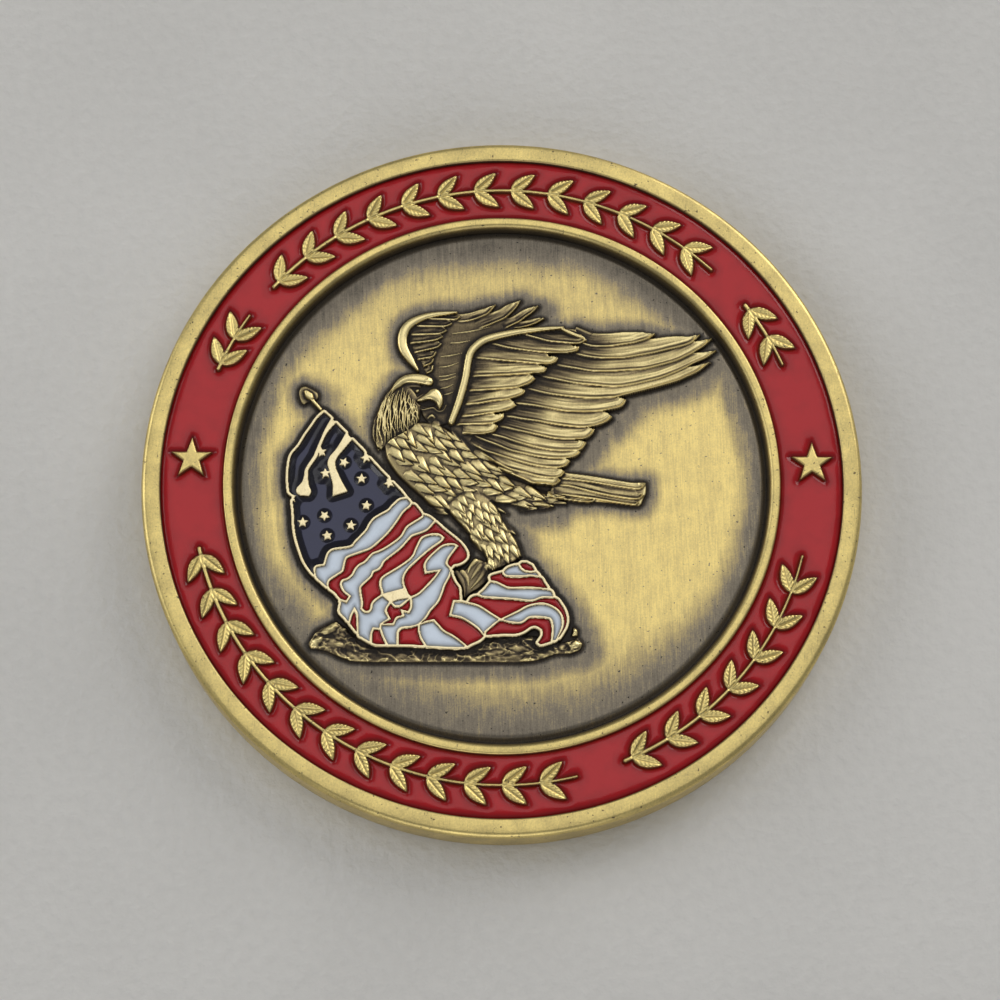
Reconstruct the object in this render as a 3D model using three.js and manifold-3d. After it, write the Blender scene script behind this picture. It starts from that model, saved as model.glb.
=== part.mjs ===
// Commemorative coin: one struck brass body with soft-enamel fills.
//
// Millimetres, +Z up. The coin lies on its reverse, and the origin is the centre of the
// reverse rim's flat face. The obverse looks up: an enamelled border ring with laurel sprigs
// and two stars, and inside it an eagle with a wind-blown flag on a rock.
//
// Metal that stands out of a recess is an island, and each enamel fill is a separate solid
// that sits in its own pocket, a hair's breadth clear of the metal.

import * as THREE from 'three';
import { mergeVertices } from 'three/addons/utils/BufferGeometryUtils.js';
import Module from 'manifold-3d';

const wasm = await Module();
wasm.setup();

// ---------------------------------------------------------------- driving dimensions

const COIN_RADIUS = 22.5;
const COIN_THICKNESS = 3.2;
const EDGE_ROUND = 0.35;
const AROUND = 72;               // facets of every full turn

const RING_OUTER = 21.3;         // enamelled border ring
const RING_INNER = 17.4;
const RING_FLOOR = COIN_THICKNESS - 0.5;
const RING_ENAMEL_TOP = COIN_THICKNESS - 0.12;
const RING_MIDDLE = 19.27;       // radius of the sprigs' stems and of the stars

const BEAD_INNER = 16.75;        // raised bead inside the ring
const BEAD_SLOPE = 0.08;
const GROOVE_INNER = 16.3;       // groove between the bead and the field
const GROOVE_FLOOR = COIN_THICKNESS - 0.8;
const FIELD_RADIUS = 16.1;
const FIELD_TOP = COIN_THICKNESS - 0.55;

const REVERSE_RIM = 20.9;        // the reverse rim's inner radius
const REVERSE_SLOPE = 0.15;
const REVERSE_DEPTH = 0.45;
const REVERSE_RELIEF = 0.3;

const FLAG_TOP = COIN_THICKNESS - 0.12;
const FLAG_POCKET = COIN_THICKNESS - 0.42;
const FLAG_ENAMEL_TOP = COIN_THICKNESS - 0.18;
const BORDER_WIDTH = 0.2;        // the flag's outer metal line
const CLOISON_WIDTH = 0.14;      // the metal lines between colours
const ENAMEL_GAP = 0.02;         // clearance of enamel to metal
const ROOT = 0.15;               // how far a raised plate reaches into the metal under it
const MERGE_DISTANCE = 0.0004;

// ---------------------------------------------------------------- materials

const antiqueBrass = new THREE.MeshStandardMaterial({ color: 0xb79b5c, roughness: 0.38, metalness: 1 });
const redEnamel = new THREE.MeshStandardMaterial({ color: 0xa31d22, roughness: 0.18, metalness: 0 });
const whiteEnamel = new THREE.MeshStandardMaterial({ color: 0xcbd5e2, roughness: 0.2, metalness: 0 });
const navyEnamel = new THREE.MeshStandardMaterial({ color: 0x22203c, roughness: 0.18, metalness: 0 });

// ---------------------------------------------------------------- solids

// A closed geometry as a solid: shared corners are merged and empty triangles dropped.
function solid(geometry) {
  geometry.deleteAttribute('normal');
  geometry.deleteAttribute('uv');
  const merged = mergeVertices(geometry, MERGE_DISTANCE);
  const corners = merged.index.array;
  const kept = [];
  for (let i = 0; i < corners.length; i += 3) {
    const [a, b, c] = [corners[i], corners[i + 1], corners[i + 2]];
    if (a !== b && b !== c && c !== a) kept.push(a, b, c);
  }
  const mesh = new wasm.Mesh({
    numProp: 3,
    vertProperties: merged.attributes.position.array,
    triVerts: new Uint32Array(kept),
  });
  return new wasm.Manifold(mesh);
}

function joined(solids) {
  return solids.reduce((whole, next) => whole.add(next));
}

function cutFrom(block, cutters) {
  return cutters.reduce((rest, cutter) => rest.subtract(cutter), block);
}

// A closed outline, as [x, y] points, raised from one height to another.
function plate(outline, bottom, top) {
  const shape = new THREE.Shape(outline.map(([x, y]) => new THREE.Vector2(x, y)));
  const geometry = new THREE.ExtrudeGeometry(shape, { depth: top - bottom, bevelEnabled: false });
  geometry.translate(0, 0, bottom);
  return solid(geometry);
}

// A profile of [radius, height] points turned about the coin's axis.
function turned(profile) {
  const points = profile.map(([radius, height]) => new THREE.Vector2(radius, height));
  const geometry = new THREE.LatheGeometry(points, AROUND);
  geometry.rotateX(Math.PI / 2);
  return solid(geometry);
}

function nodeMesh(name, body, material) {
  const { vertProperties, triVerts } = body.getMesh();
  const geometry = new THREE.BufferGeometry();
  geometry.setAttribute('position', new THREE.BufferAttribute(vertProperties, 3));
  geometry.setIndex(new THREE.BufferAttribute(triVerts, 1));
  geometry.computeVertexNormals();
  const mesh = new THREE.Mesh(geometry, material);
  mesh.name = name;
  return mesh;
}

// ---------------------------------------------------------------- outlines

function signedArea(outline) {
  return outline.reduce((sum, [x, y], i) => {
    const [nextX, nextY] = outline[(i + 1) % outline.length];
    return sum + (x * nextY - nextX * y) / 2;
  }, 0);
}

// The outline moved inwards by a distance (outwards when it is negative), its corners mitred.
function inset(outline, distance) {
  const ring = signedArea(outline) > 0 ? outline : [...outline].reverse();
  const LONGEST_MITRE = 2.2;
  return ring.map(([x, y], i) => {
    const [beforeX, beforeY] = ring[(i + ring.length - 1) % ring.length];
    const [afterX, afterY] = ring[(i + 1) % ring.length];
    const into = new THREE.Vector2(x - beforeX, y - beforeY).normalize();
    const away = new THREE.Vector2(afterX - x, afterY - y).normalize();
    const middle = new THREE.Vector2(-into.y - away.y, into.x + away.x).normalize();
    const lean = Math.max(middle.x * -away.y + middle.y * away.x, 1 / LONGEST_MITRE);
    return [x + (middle.x * distance) / lean, y + (middle.y * distance) / lean];
  });
}

// A line of even or tapering width as a closed outline.
function ribbon(points, startWidth, endWidth = startWidth) {
  const left = [];
  const right = [];
  points.forEach(([x, y], i) => {
    const [fromX, fromY] = points[Math.max(i - 1, 0)];
    const [toX, toY] = points[Math.min(i + 1, points.length - 1)];
    const along = new THREE.Vector2(toX - fromX, toY - fromY).normalize();
    const half = THREE.MathUtils.lerp(startWidth, endWidth, i / (points.length - 1)) / 2;
    left.push([x - along.y * half, y + along.x * half]);
    right.push([x + along.y * half, y - along.x * half]);
  });
  return [...left, ...right.reverse()];
}

function starOutline(centreX, centreY, outer, inner, points, turn = 0) {
  return Array.from({ length: points * 2 }, (_, i) => {
    const radius = i % 2 ? inner : outer;
    const angle = Math.PI / 2 + turn + (i * Math.PI) / points;
    return [centreX + radius * Math.cos(angle), centreY + radius * Math.sin(angle)];
  });
}

// A pointed leaf from its base, along a direction in radians.
function leafOutline(baseX, baseY, direction, length, width) {
  const shape = [[0, 0], [0.35, 0.48], [0.72, 0.38], [1, 0], [0.72, -0.38], [0.35, -0.48]];
  return shape.map(([along, aside]) => [
    baseX + Math.cos(direction) * along * length - Math.sin(direction) * aside * width,
    baseY + Math.sin(direction) * along * length + Math.cos(direction) * aside * width,
  ]);
}

function polar(radius, degrees) {
  const angle = THREE.MathUtils.degToRad(degrees);
  return [radius * Math.cos(angle), radius * Math.sin(angle)];
}

// ---------------------------------------------------------------- border ring: sprigs and stars

const LEAF_LENGTH = 1.95;
const LEAF_WIDTH = 0.82;
const LEAF_SPREAD = THREE.MathUtils.degToRad(37);
const STEM_WIDTH = 0.24;
const PAIR_STEP = 6.9;           // degrees between pairs of leaves
const STEM_STEP = 6.9;           // degrees between points of a stem
const RING_STAR = { outer: 1.45, inner: 0.58, points: 5, x: 19.4, y: 1.2 };

// Each sprig's first and last angle in degrees, in its direction of growth.
const sprigs = [
  [157.5, 146.5],
  [138, 46.5],
  [36, 23.5],
  [195, 284],
  [294.5, 345.5],
];

function sprigOutlines([start, end]) {
  const sense = Math.sign(end - start);
  const span = Math.abs(end - start);
  const pairs = Math.round(span / PAIR_STEP);
  const stemSteps = Math.ceil(span / STEM_STEP);
  const stem = Array.from({ length: stemSteps + 1 }, (_, i) => {
    return polar(RING_MIDDLE, start + (sense * span * i) / stemSteps);
  });
  const outlines = [ribbon(stem, STEM_WIDTH)];
  for (let pair = 0; pair < pairs; pair += 1) {
    const degrees = start + (sense * span * pair) / pairs;
    const [x, y] = polar(RING_MIDDLE, degrees);
    const growth = THREE.MathUtils.degToRad(degrees + sense * 90);
    outlines.push(leafOutline(x, y, growth + LEAF_SPREAD, LEAF_LENGTH, LEAF_WIDTH));
    outlines.push(leafOutline(x, y, growth - LEAF_SPREAD, LEAF_LENGTH, LEAF_WIDTH));
  }
  return outlines;
}

const ringStars = [-1, 1].map((side) => {
  return starOutline(side * RING_STAR.x, RING_STAR.y, RING_STAR.outer, RING_STAR.inner, RING_STAR.points);
});
const ringIslands = [...sprigs.flatMap(sprigOutlines), ...ringStars];

// ---------------------------------------------------------------- flag: shared lines

// The flag's outer line in stretches, in order round the flag. Each stretch ends where the
// next begins, at a place where a line between two colours meets the outer line.
const edge = {
  pole: [[-11.2, 4.4], [-10.47, 3.73], [-8.93, 2.13], [-7.67, 0.73], [-6.33, -0.67], [-5.88, -1.22]],
  white1Top: [[-5.88, -1.22], [-5.6, -1.56]],
  red1Top: [[-5.6, -1.56], [-5.4, -1.62], [-5.21, -1.82], [-4.9, -2.25]],
  white2Top: [[-4.9, -2.25], [-4.5, -2.39], [-4.11, -2.68]],
  fold: [
    [-4.11, -2.68], [-3.57, -3.18], [-3, -3.64], [-2.5, -4.07], [-2.18, -4.5], [-2.04, -4.89],
    [-2.18, -5.21], [-2.54, -5.46], [-2.92, -5.56], [-3.12, -5.8],
  ],
  foot: [[-3.12, -5.8], [-3.01, -6.14], [-2.82, -6.57], [-2.57, -6.93], [-2.5, -7.29], [-2.48, -7.82]],
  claw: [[-2.48, -7.82], [-2.14, -7.9]],
  clawRight: [[-2.14, -7.9], [-1.86, -7.52], [-1.47, -7.4]],
  white9Left: [[-1.47, -7.4], [-1.04, -7], [-0.68, -6.54]],
  red9Top: [[-0.68, -6.54], [-0.75, -6.29], [-0.62, -6.11], [-0.14, -5.96], [0.11, -5.89]],
  white10Top: [[0.11, -5.89], [0.36, -5.64], [0.71, -5.5], [1.07, -5.43]],
  red10Top: [[1.07, -5.43], [1.25, -5.27], [1.57, -5.27], [1.93, -5.46], [2.18, -5.88]],
  white10End: [[2.18, -5.88], [2.47, -6.23]],
  red9End: [[2.47, -6.23], [2.71, -6.57], [3.02, -7.04]],
  white9End: [[3.02, -7.04], [3.37, -7.52]],
  lee: [[3.37, -7.52], [3.75, -7.93], [4, -8.36], [4.13, -8.86], [4.06, -9.36], [3.79, -9.86], [3.46, -10.2]],
  curlEnd: [[3.46, -10.2], [3.14, -10.37]],
  curl: [
    [3.14, -10.37], [2.5, -10.57], [2.2, -10.44], [2.5, -9.93], [2.48, -9.61], [2.18, -9.43],
    [1.86, -9.46], [1.43, -9.75], [0.93, -9.91], [0, -9.94], [-0.95, -10.02],
  ],
  red7End: [[-0.95, -10.02], [-1.29, -10.32], [-1.8, -10.57], [-2.05, -10.72]],
  white7Foot: [[-2.05, -10.72], [-2.86, -10.78], [-4.58, -10.7]],
  red8Foot: [[-4.58, -10.7], [-5.5, -10.65], [-6.33, -10.64]],
  white6Foot: [[-6.33, -10.64], [-6.97, -10.65]],
  red5Foot: [[-6.97, -10.65], [-7.7, -10.63], [-7.98, -10.53]],
  white5Foot: [[-7.98, -10.53], [-8.57, -10.18], [-8.8, -9.95]],
  red4Side: [[-8.8, -9.95], [-9.1, -9.63], [-9.36, -9.3]],
  white5Side: [[-9.36, -9.3], [-9.71, -8.89], [-9.99, -8.57], [-9.93, -8.04], [-9.98, -7.75]],
  red1Foot: [[-9.98, -7.75], [-10.29, -7.39], [-10.66, -7.1]],
  white1Foot: [[-10.66, -7.1], [-11.14, -6.71], [-11.5, -6.36]],
  hoist: [
    [-11.5, -6.36], [-11.86, -6], [-12.21, -5.5], [-12.46, -4.93], [-12.8, -3.9], [-12.95, -3],
    [-13, -2.2], [-13.13, -1.33], [-13.33, -0.8], [-13.41, 0], [-13.37, 0.87], [-13.23, 1.53],
    [-12.77, 2.13], [-12.4, 2.8], [-12, 3.4], [-11.65, 3.95], [-11.2, 4.4],
  ],
};

// The lines between two colours.
const line = {
  navy: [
    [-5.88, -1.22], [-6.1, -1.25], [-6.43, -1.36], [-6.86, -1.79], [-7.07, -2.04], [-7.5, -2.29],
    [-7.93, -2.57], [-8.21, -2.93], [-8.43, -3.36], [-9.07, -4.07], [-9.36, -4.39], [-10.29, -4.54],
    [-10.61, -4.68], [-10.79, -4.93], [-10.96, -5.57], [-11.42, -5.66], [-11.55, -5.85], [-11.5, -6.36],
  ],
  red1Upper: [
    [-5.6, -1.56], [-5.75, -1.79], [-6.07, -2.07], [-6.29, -2.36], [-6.5, -2.71], [-7.07, -3.5],
    [-7.86, -4.29], [-8.21, -4.54], [-8.64, -4.71], [-9.5, -5.04], [-9.68, -5.29], [-9.82, -5.93],
    [-10.07, -6.14], [-10.6, -6.52], [-10.72, -6.8], [-10.66, -7.1],
  ],
  red1Lower: [
    [-4.9, -2.25], [-4.96, -2.48], [-5.64, -2.93], [-5.93, -3.18], [-6.29, -3.79], [-7.07, -4.39],
    [-7.57, -4.68], [-8, -4.86], [-8.43, -5.36], [-8.79, -5.57], [-9.04, -5.86], [-9.21, -6.21],
    [-9.5, -6.46], [-9.79, -6.57], [-9.89, -6.79], [-9.82, -7.07], [-9.64, -7.32], [-9.32, -7.56],
    [-9.54, -7.93], [-9.98, -7.75],
  ],
  red2Upper: [
    [-4.11, -2.68], [-4.43, -3.07], [-4.64, -3.29], [-5, -3.46], [-5.5, -3.64], [-5.71, -3.82],
    [-6.29, -4.5], [-7.07, -5.14], [-7.32, -5.39], [-7.43, -5.64], [-7.64, -5.86], [-7.93, -6],
    [-8.07, -6.32], [-8.61, -6.86], [-8.71, -7.14], [-8.57, -8], [-8.61, -8.34], [-8.39, -8.54],
    [-8.14, -8.54], [-8, -8.36], [-7.96, -8.07], [-7.79, -7.82], [-7.32, -7.46],
  ],
  white3Left: [
    [-7.32, -7.46], [-7.36, -7.21], [-7.46, -6.86], [-7.43, -6.5], [-7.21, -6.25], [-6.43, -5.75],
    [-5.79, -5.29], [-5.46, -4.93], [-5.29, -4.5], [-5, -3.89], [-4.71, -3.68], [-4.29, -3.57],
    [-3.86, -3.6], [-3.62, -3.8],
  ],
  white3Right: [
    [-3.62, -3.8], [-3.78, -4.03], [-4.5, -4.57], [-5.29, -5.29], [-5.71, -5.71], [-5.96, -6.07],
    [-6.07, -6.43], [-6.04, -6.79], [-5.93, -7.07],
  ],
  red3Tip: [[-5.93, -7.07], [-5.79, -7.4], [-5.56, -7.62]],
  red3Lower: [[-5.56, -7.62], [-5.07, -7.36], [-4.64, -6.93], [-4.14, -6.36], [-3.8, -5.87]],
  white4Left: [[-3.8, -5.87], [-4.67, -6.02], [-4.74, -5.6], [-4.64, -5.28], [-4.4, -4.98], [-4.07, -4.65]],
  white4Top: [[-4.07, -4.65], [-3.7, -4.34], [-3.36, -4.22], [-2.95, -4.2], [-2.75, -4.32]],
  white4Right: [[-2.75, -4.32], [-3, -4.66], [-3.28, -5.07], [-3.38, -5.45], [-3.12, -5.8]],
  white4Lower: [
    [-3.12, -5.8], [-3.22, -6.25], [-3.5, -6.8], [-3.66, -7.3], [-3.92, -7.9], [-4.35, -8.4],
    [-4.62, -8.85], [-5.03, -9.3],
  ],
  red8Upper: [[-5.03, -9.3], [-5.5, -9.46], [-6.1, -9.54], [-6.33, -9.8], [-6.33, -10.64]],
  white7Left: [[-5.03, -9.3], [-5.03, -9.75], [-4.9, -10.2], [-4.58, -10.7]],
  white7Top: [
    [-5.03, -9.3], [-4.6, -9.15], [-4.14, -9.04], [-3.9, -9.3], [-3.5, -9.72], [-2.9, -10.05],
    [-2.05, -10.72],
  ],
  red5Right: [[-7.4, -9.62], [-7.25, -10.07], [-6.97, -10.65]],
  red5Left: [[-7.4, -9.62], [-7.85, -9.58], [-7.96, -9.9], [-7.98, -10.53]],
  white56: [[-7.4, -9.62], [-7.4, -9.33]],
  red4Right: [[-9.04, -8.38], [-8.86, -8.75], [-8.8, -9.95]],
  red4Left: [[-9.04, -8.38], [-9.22, -8.75], [-9.36, -9.3]],
  patchTop: [[-7.32, -7.46], [-6.64, -7.27], [-5.93, -7.07]],
  patchFoot: [[-7.32, -7.46], [-7.07, -7.68], [-6.82, -7.88]],
  patchRight: [[-6.82, -7.88], [-6.36, -7.7], [-5.56, -7.62]],
  red6Left: [[-6.82, -7.88], [-7.1, -8.45], [-6.86, -8.98], [-7.4, -9.33]],
  red6Top: [[-6.82, -7.88], [-6.55, -8.17], [-6.2, -8.15], [-5.85, -7.85], [-5.56, -7.62]],
  red6Right: [
    [-5.56, -7.62], [-5.53, -8.2], [-5.68, -8.55], [-6.1, -8.45], [-6, -8.78], [-6.42, -8.92],
    [-6.6, -9.3], [-7.4, -9.33],
  ],
  white8Left: [[-2.48, -7.82], [-2.9, -7.82], [-3.12, -8.7]],
  white8Foot: [[-3.12, -8.7], [-2.43, -8.86], [-1.93, -9.14], [-1.43, -9.5], [-0.95, -10.02]],
  white8Right: [[-0.95, -10.02], [-0.99, -9.78], [-0.36, -9.21], [0, -8.98]],
  white8Top: [[-2.14, -7.9], [-1.57, -8.04], [-1.21, -8.21], [-0.71, -8.54], [0, -8.98]],
  white9Top: [[-0.68, -6.54], [-0.29, -6.61], [0.14, -6.82], [0.57, -6.95], [1.86, -6.93], [3.02, -7.04]],
  white9Foot: [[-1.47, -7.4], [-1, -7.54], [0.71, -7.64], [1.86, -7.75], [2.5, -7.54], [3.37, -7.52]],
  white10Foot: [[0.11, -5.89], [0.16, -6.08], [0.4, -6.2], [1.29, -6.21], [1.79, -6.16], [2.47, -6.23]],
  red10Foot: [[1.07, -5.43], [1.21, -5.68], [1.43, -5.86], [1.79, -5.93], [2.18, -5.88]],
  curlTop: [
    [0, -8.98], [1.07, -8.43], [1.57, -8.14], [2.07, -7.98], [2.57, -7.93], [3, -8.04], [3.43, -8.29],
    [3.71, -8.64], [3.82, -9.07], [3.75, -9.5], [3.46, -10.2],
  ],
  curlFoot: [
    [0, -8.98], [0.6, -9.12], [1.14, -9.16], [1.43, -9.04], [1.71, -8.82], [2.14, -8.77], [2.79, -8.82],
    [3.07, -8.95], [3.2, -9.5], [3.14, -10.37],
  ],
};

// Stretches laid end to end into one closed outline. A name with a minus runs backwards.
function loop(...stretches) {
  const outline = [];
  for (const stretch of stretches) {
    const backwards = stretch.startsWith('-');
    const name = stretch.replace('-', '');
    const points = edge[name] ?? line[name];
    const ordered = backwards ? [...points].reverse() : points;
    outline.push(...ordered.slice(0, -1));
  }
  return outline;
}

const flagOutline = loop(...Object.keys(edge));

// Every enamelled cell of the flag: its node's name, its colour and its outline.
const cells = [
  ['navy_canton', navyEnamel, loop('pole', 'navy', 'hoist')],
  ['white_stripe_1', whiteEnamel, loop('white1Top', 'red1Upper', 'white1Foot', '-navy')],
  ['red_stripe_1', redEnamel, loop('red1Top', 'red1Lower', 'red1Foot', '-red1Upper')],
  ['white_stripe_2', whiteEnamel, loop(
    'white2Top', 'red2Upper', 'patchFoot', 'red6Left', '-white56', 'red5Left', 'white5Foot',
    '-red4Right', 'red4Left', 'white5Side', '-red1Lower',
  )],
  ['red_stripe_2', redEnamel, loop(
    'fold', '-white4Right', '-white4Top', '-white4Left', '-red3Lower', '-red3Tip', '-white3Right',
    '-white3Left', '-red2Upper',
  )],
  ['white_stripe_3', whiteEnamel, loop('white3Left', 'white3Right', '-patchTop')],
  ['white_stripe_4', whiteEnamel, loop(
    'white4Lower', 'red8Upper', 'white6Foot', '-red5Right', 'white56', '-red6Right', 'red3Lower',
    'white4Left', 'white4Top', 'white4Right',
  )],
  ['white_fold_crescent', whiteEnamel, loop('red6Top', '-patchRight')],
  ['red_fold_centre', redEnamel, loop('red6Left', '-red6Right', '-red6Top')],
  ['red_hem_left', redEnamel, loop('red4Right', 'red4Side', '-red4Left')],
  ['red_hem_middle', redEnamel, loop('red5Right', 'red5Foot', '-red5Left')],
  ['red_hem_right', redEnamel, loop('white7Left', 'red8Foot', '-red8Upper')],
  ['white_hem', whiteEnamel, loop('white7Top', 'white7Foot', '-white7Left')],
  ['red_stripe_3', redEnamel, loop(
    'foot', 'white8Left', 'white8Foot', 'red7End', '-white7Top', '-white4Lower',
  )],
  ['white_stripe_5', whiteEnamel, loop('claw', 'white8Top', '-white8Right', '-white8Foot', '-white8Left')],
  ['red_stripe_4', redEnamel, loop('clawRight', 'white9Foot', 'lee', '-curlTop', '-white8Top')],
  ['white_stripe_6', whiteEnamel, loop('white9Left', 'white9Top', 'white9End', '-white9Foot')],
  ['red_stripe_5', redEnamel, loop('red9Top', 'white10Foot', 'red9End', '-white9Top')],
  ['white_peak', whiteEnamel, loop('white10Top', 'red10Foot', 'white10End', '-white10Foot')],
  ['red_peak', redEnamel, loop('red10Top', '-red10Foot')],
  ['white_curl', whiteEnamel, loop('curlTop', 'curlEnd', '-curlFoot')],
  ['red_curl', redEnamel, loop('curlFoot', 'curl', 'white8Right')],
];

// Metal inside the canton: small stars as [x, y, turn in radians], a half star on the border,
// and the two folds of the cloth, which grow out of the border along the pole.
const CANTON_STAR = { outer: 0.37, inner: 0.17, points: 5 };
const cantonStars = [
  [-11.3, 1.69, 0.2], [-11.02, 0.31, 0.1], [-9.87, 1.03, -0.4], [-8.52, 1.34, 0.3], [-8.76, -0.02, 0],
  [-7.02, -0.3, 0.4], [-8.42, -1.75, -0.1], [-11.01, -2.43, 0.63], [-12.36, -2.87, 0],
  [-9.36, -3.04, -0.1], [-10.81, -3.71, 0.15],
];
const halfStar = [
  [-13.2, -0.95], [-12.98, -1.1], [-12.8, -1.14], [-12.94, -1.32], [-12.86, -1.53], [-13.04, -1.48],
  [-13.1, -1.68],
];
const leftFold = [
  [-11.14, 3.15], [-11.46, 2.33], [-11.82, 1.4], [-12.27, 0.64], [-12.35, 0.18], [-12.47, -0.26],
  [-12.79, -0.66], [-12.79, -0.95], [-12.56, -1.13], [-12, -1.16], [-11.88, -0.88], [-12.04, -0.45],
  [-12.1, 0.18], [-12.05, 0.59], [-11.58, 1.34], [-11.29, 2.22], [-10.99, 2.92], [-10.4, 3.66],
  [-10.72, 3.96],
];
const rightFold = [
  [-9.78, 3], [-10.33, 1.99], [-10.78, 1.41], [-10.9, 0.94], [-10.68, 0.08], [-10.53, -0.5], [-10.54, -1.17],
  [-9.61, -0.86], [-10.01, -0.15], [-10.36, 0.6], [-10.43, 1.01], [-10.27, 1.41], [-9.81, 2], [-9.36, 2.58],
];
const cantonMetal = [
  ...cantonStars.map(([x, y, turn]) => {
    return starOutline(x, y, CANTON_STAR.outer, CANTON_STAR.inner, CANTON_STAR.points, turn);
  }),
  halfStar,
  leftFold,
  rightFold,
];

// ---------------------------------------------------------------- eagle, rock and flag staff

// Flight feathers from the front wing's root outwards: [root, root width, tip], each one lying
// a step higher than the one before it.
const FEATHER_STEP = 0.012;
const flightFeathers = [
  [[1, -0.1], 0.6, [3.3, -0.5]],
  [[-0.4, 0.7], 0.7, [3.96, 0.1]],
  [[-0.9, 1.3], 0.8, [4.1, 0.75]],
  [[-1, 1.9], 0.8, [4.5, 1.35]],
  [[-0.9, 2.5], 0.9, [5.3, 2.15]],
  [[-0.6, 3.1], 0.9, [5.85, 2.95]],
  [[-0.1, 3.8], 1, [6.95, 3.95]],
  [[0.4, 4.6], 1.1, [7.8, 5]],
  [[1, 5.4], 1.2, [9.9, 6]],
  [[1.6, 6.2], 1.2, [13.1, 7.4]],
  [[2.4, 7], 1.2, [13.76, 8.4]],
  [[3.2, 7.8], 1.1, [13.3, 9.15]],
  [[3.8, 8.6], 1, [12.5, 9.5]],
  [[4, 9.3], 0.9, [9.65, 9.5]],
];
const coverts = [
  [[-2.6, 3], 0.6, [-0.25, 3.38]],
  [[-2.8, 3.5], 0.7, [0.08, 4.05]],
  [[-2.5, 4.2], 0.8, [0.87, 4.65]],
  [[-2.4, 5], 0.9, [1.46, 5.6]],
  [[-2.2, 5.9], 0.9, [2.18, 6.4]],
  [[-2, 6.8], 0.9, [2.84, 7.25]],
  [[-1.8, 7.7], 0.9, [3.57, 7.85]],
  [[-0.9, 8.6], 0.8, [4.88, 8.5]],
  [[0.6, 9.3], 0.7, [5.2, 8.98]],
];
const leadingEdge = [
  [-3.1, 3.7], [-2.68, 5.03], [-2.22, 6.74], [-2, 8.05], [-1.5, 8.84], [-0.71, 9.3], [0.6, 9.63],
  [3.89, 9.96],
];
const backFeathers = [
  [[-4.2, 6.2], 0.8, [-3.4, 7.6]],
  [[-4.6, 7], 0.8, [-3.3, 9.3]],
  [[-5.2, 7.8], 0.8, [-2.6, 10.1]],
  [[-5.6, 8.6], 0.8, [-1.8, 10.8]],
  [[-5.5, 9.4], 0.9, [-0.5, 11.45]],
  [[-4.9, 10.1], 0.9, [1.1, 11.85]],
  [[-3.4, 10.2], 0.9, [2.2, 11.45]],
  [[-2.6, 9.5], 1, [2.5, 10.65]],
];
const backEdge = [
  [-5.2, 7], [-6, 8.1], [-6.35, 9], [-6.25, 9.8], [-5.75, 10.4], [-4.9, 10.85], [-2.9, 11.05],
];
const tail = [
  [3.3, -0.2], [4.16, 0.12], [8.76, -0.17], [8.96, -0.37], [8.7, -0.7], [8.85, -1.03], [8.5, -1.58],
  [3.7, -1.4], [2.6, -1],
];
const eagleBody = [
  [-7.9, 3], [-7.5, 2.2], [-7.3, 1.4], [-6.7, 0.4], [-5.9, -0.4], [-5, -1.2], [-4.2, -1.9], [-3.4, -2.4],
  [-2.5, -3.3], [-1.9, -4.1], [-1.5, -4.8], [0.3, -5.4], [1.3, -4.9], [1, -4.2], [0.5, -3.3], [-0.1, -2.4],
  [0.3, -1.7], [1.6, -1.75], [3.5, -1.2], [2.6, -0.6], [1.2, 0.2], [-0.4, 1], [-1.8, 2.1], [-2.7, 3],
  [-3.6, 4], [-4.9, 4.2],
];
const eagleThigh = [
  [-3.3, -1.2], [-2.8, -2.9], [-1.7, -4.3], [-0.9, -4.9], [0.4, -4.8], [0.7, -4.2], [-0.2, -2.7],
  [-0.4, -1.2], [-1.8, -0.5],
];
const eagleHead = [
  [-7.9, 2.9], [-7.95, 4], [-7.8, 4.8], [-7.4, 5.8], [-6.9, 6.4], [-6.2, 6.85], [-5.4, 6.95], [-4.7, 6.75],
  [-4.1, 6], [-3.75, 5.5], [-3.7, 5], [-3.95, 4.5], [-4.2, 4.8], [-4.5, 4.65], [-5, 4.7], [-4.9, 3.8],
  [-6.2, 2.6],
];
const brow = [[-7, 5.9], [-6.4, 6.3], [-5.7, 6.45], [-5, 6.35], [-4.5, 6.2]];
const talons = [
  [-2.85, -5.75], [-2.75, -6.3], [-2.4, -6.9], [-2.35, -7.6], [-2.2, -7.75], [-1.95, -7.35], [-1.5, -7.2],
  [-0.95, -6.7], [-0.9, -6.2], [-0.6, -5.9], [0.3, -5.75], [0.9, -5.2], [-0.5, -4.7], [-1.7, -4.7],
  [-2.3, -5.35],
];
const rock = [
  [-11.9, -10.5], [-11.5, -9.8], [-10.9, -9.4], [-10.2, -9.05], [-9.3, -9.5], [-8, -10.4], [-2, -10.5],
  [-0.5, -9.8], [2, -9.3], [3, -9.8], [4, -9.9], [4.45, -9.3], [4.75, -9.9], [5.05, -10.4], [4.6, -11],
  [3.4, -11.15], [2, -11.6], [0, -11.75], [-4, -11.8], [-8.5, -11.8], [-10.8, -11.15], [-11.7, -10.95],
];
const staff = [
  [-12.5, 6.14], [-12.22, 6.05], [-11.62, 5.65], [-11.55, 5.35], [-11.72, 5.09], [-11.2, 4.5],
  [-11.45, 4.3], [-11.95, 4.92], [-12.47, 4.85], [-12.81, 5.28], [-12.88, 5.64],
];

// A feather as a long pointed outline from its root to its tip.
function feather([[rootX, rootY], width, [tipX, tipY]]) {
  const along = new THREE.Vector2(tipX - rootX, tipY - rootY);
  const across = new THREE.Vector2(-along.y, along.x).normalize().multiplyScalar(width / 2);
  const shape = [[0, 1], [0.8, 0.8], [1, 0], [0.8, -0.8], [0, -1]];
  return shape.map(([t, side]) => {
    return [rootX + along.x * t + across.x * side, rootY + along.y * t + across.y * side];
  });
}

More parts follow.
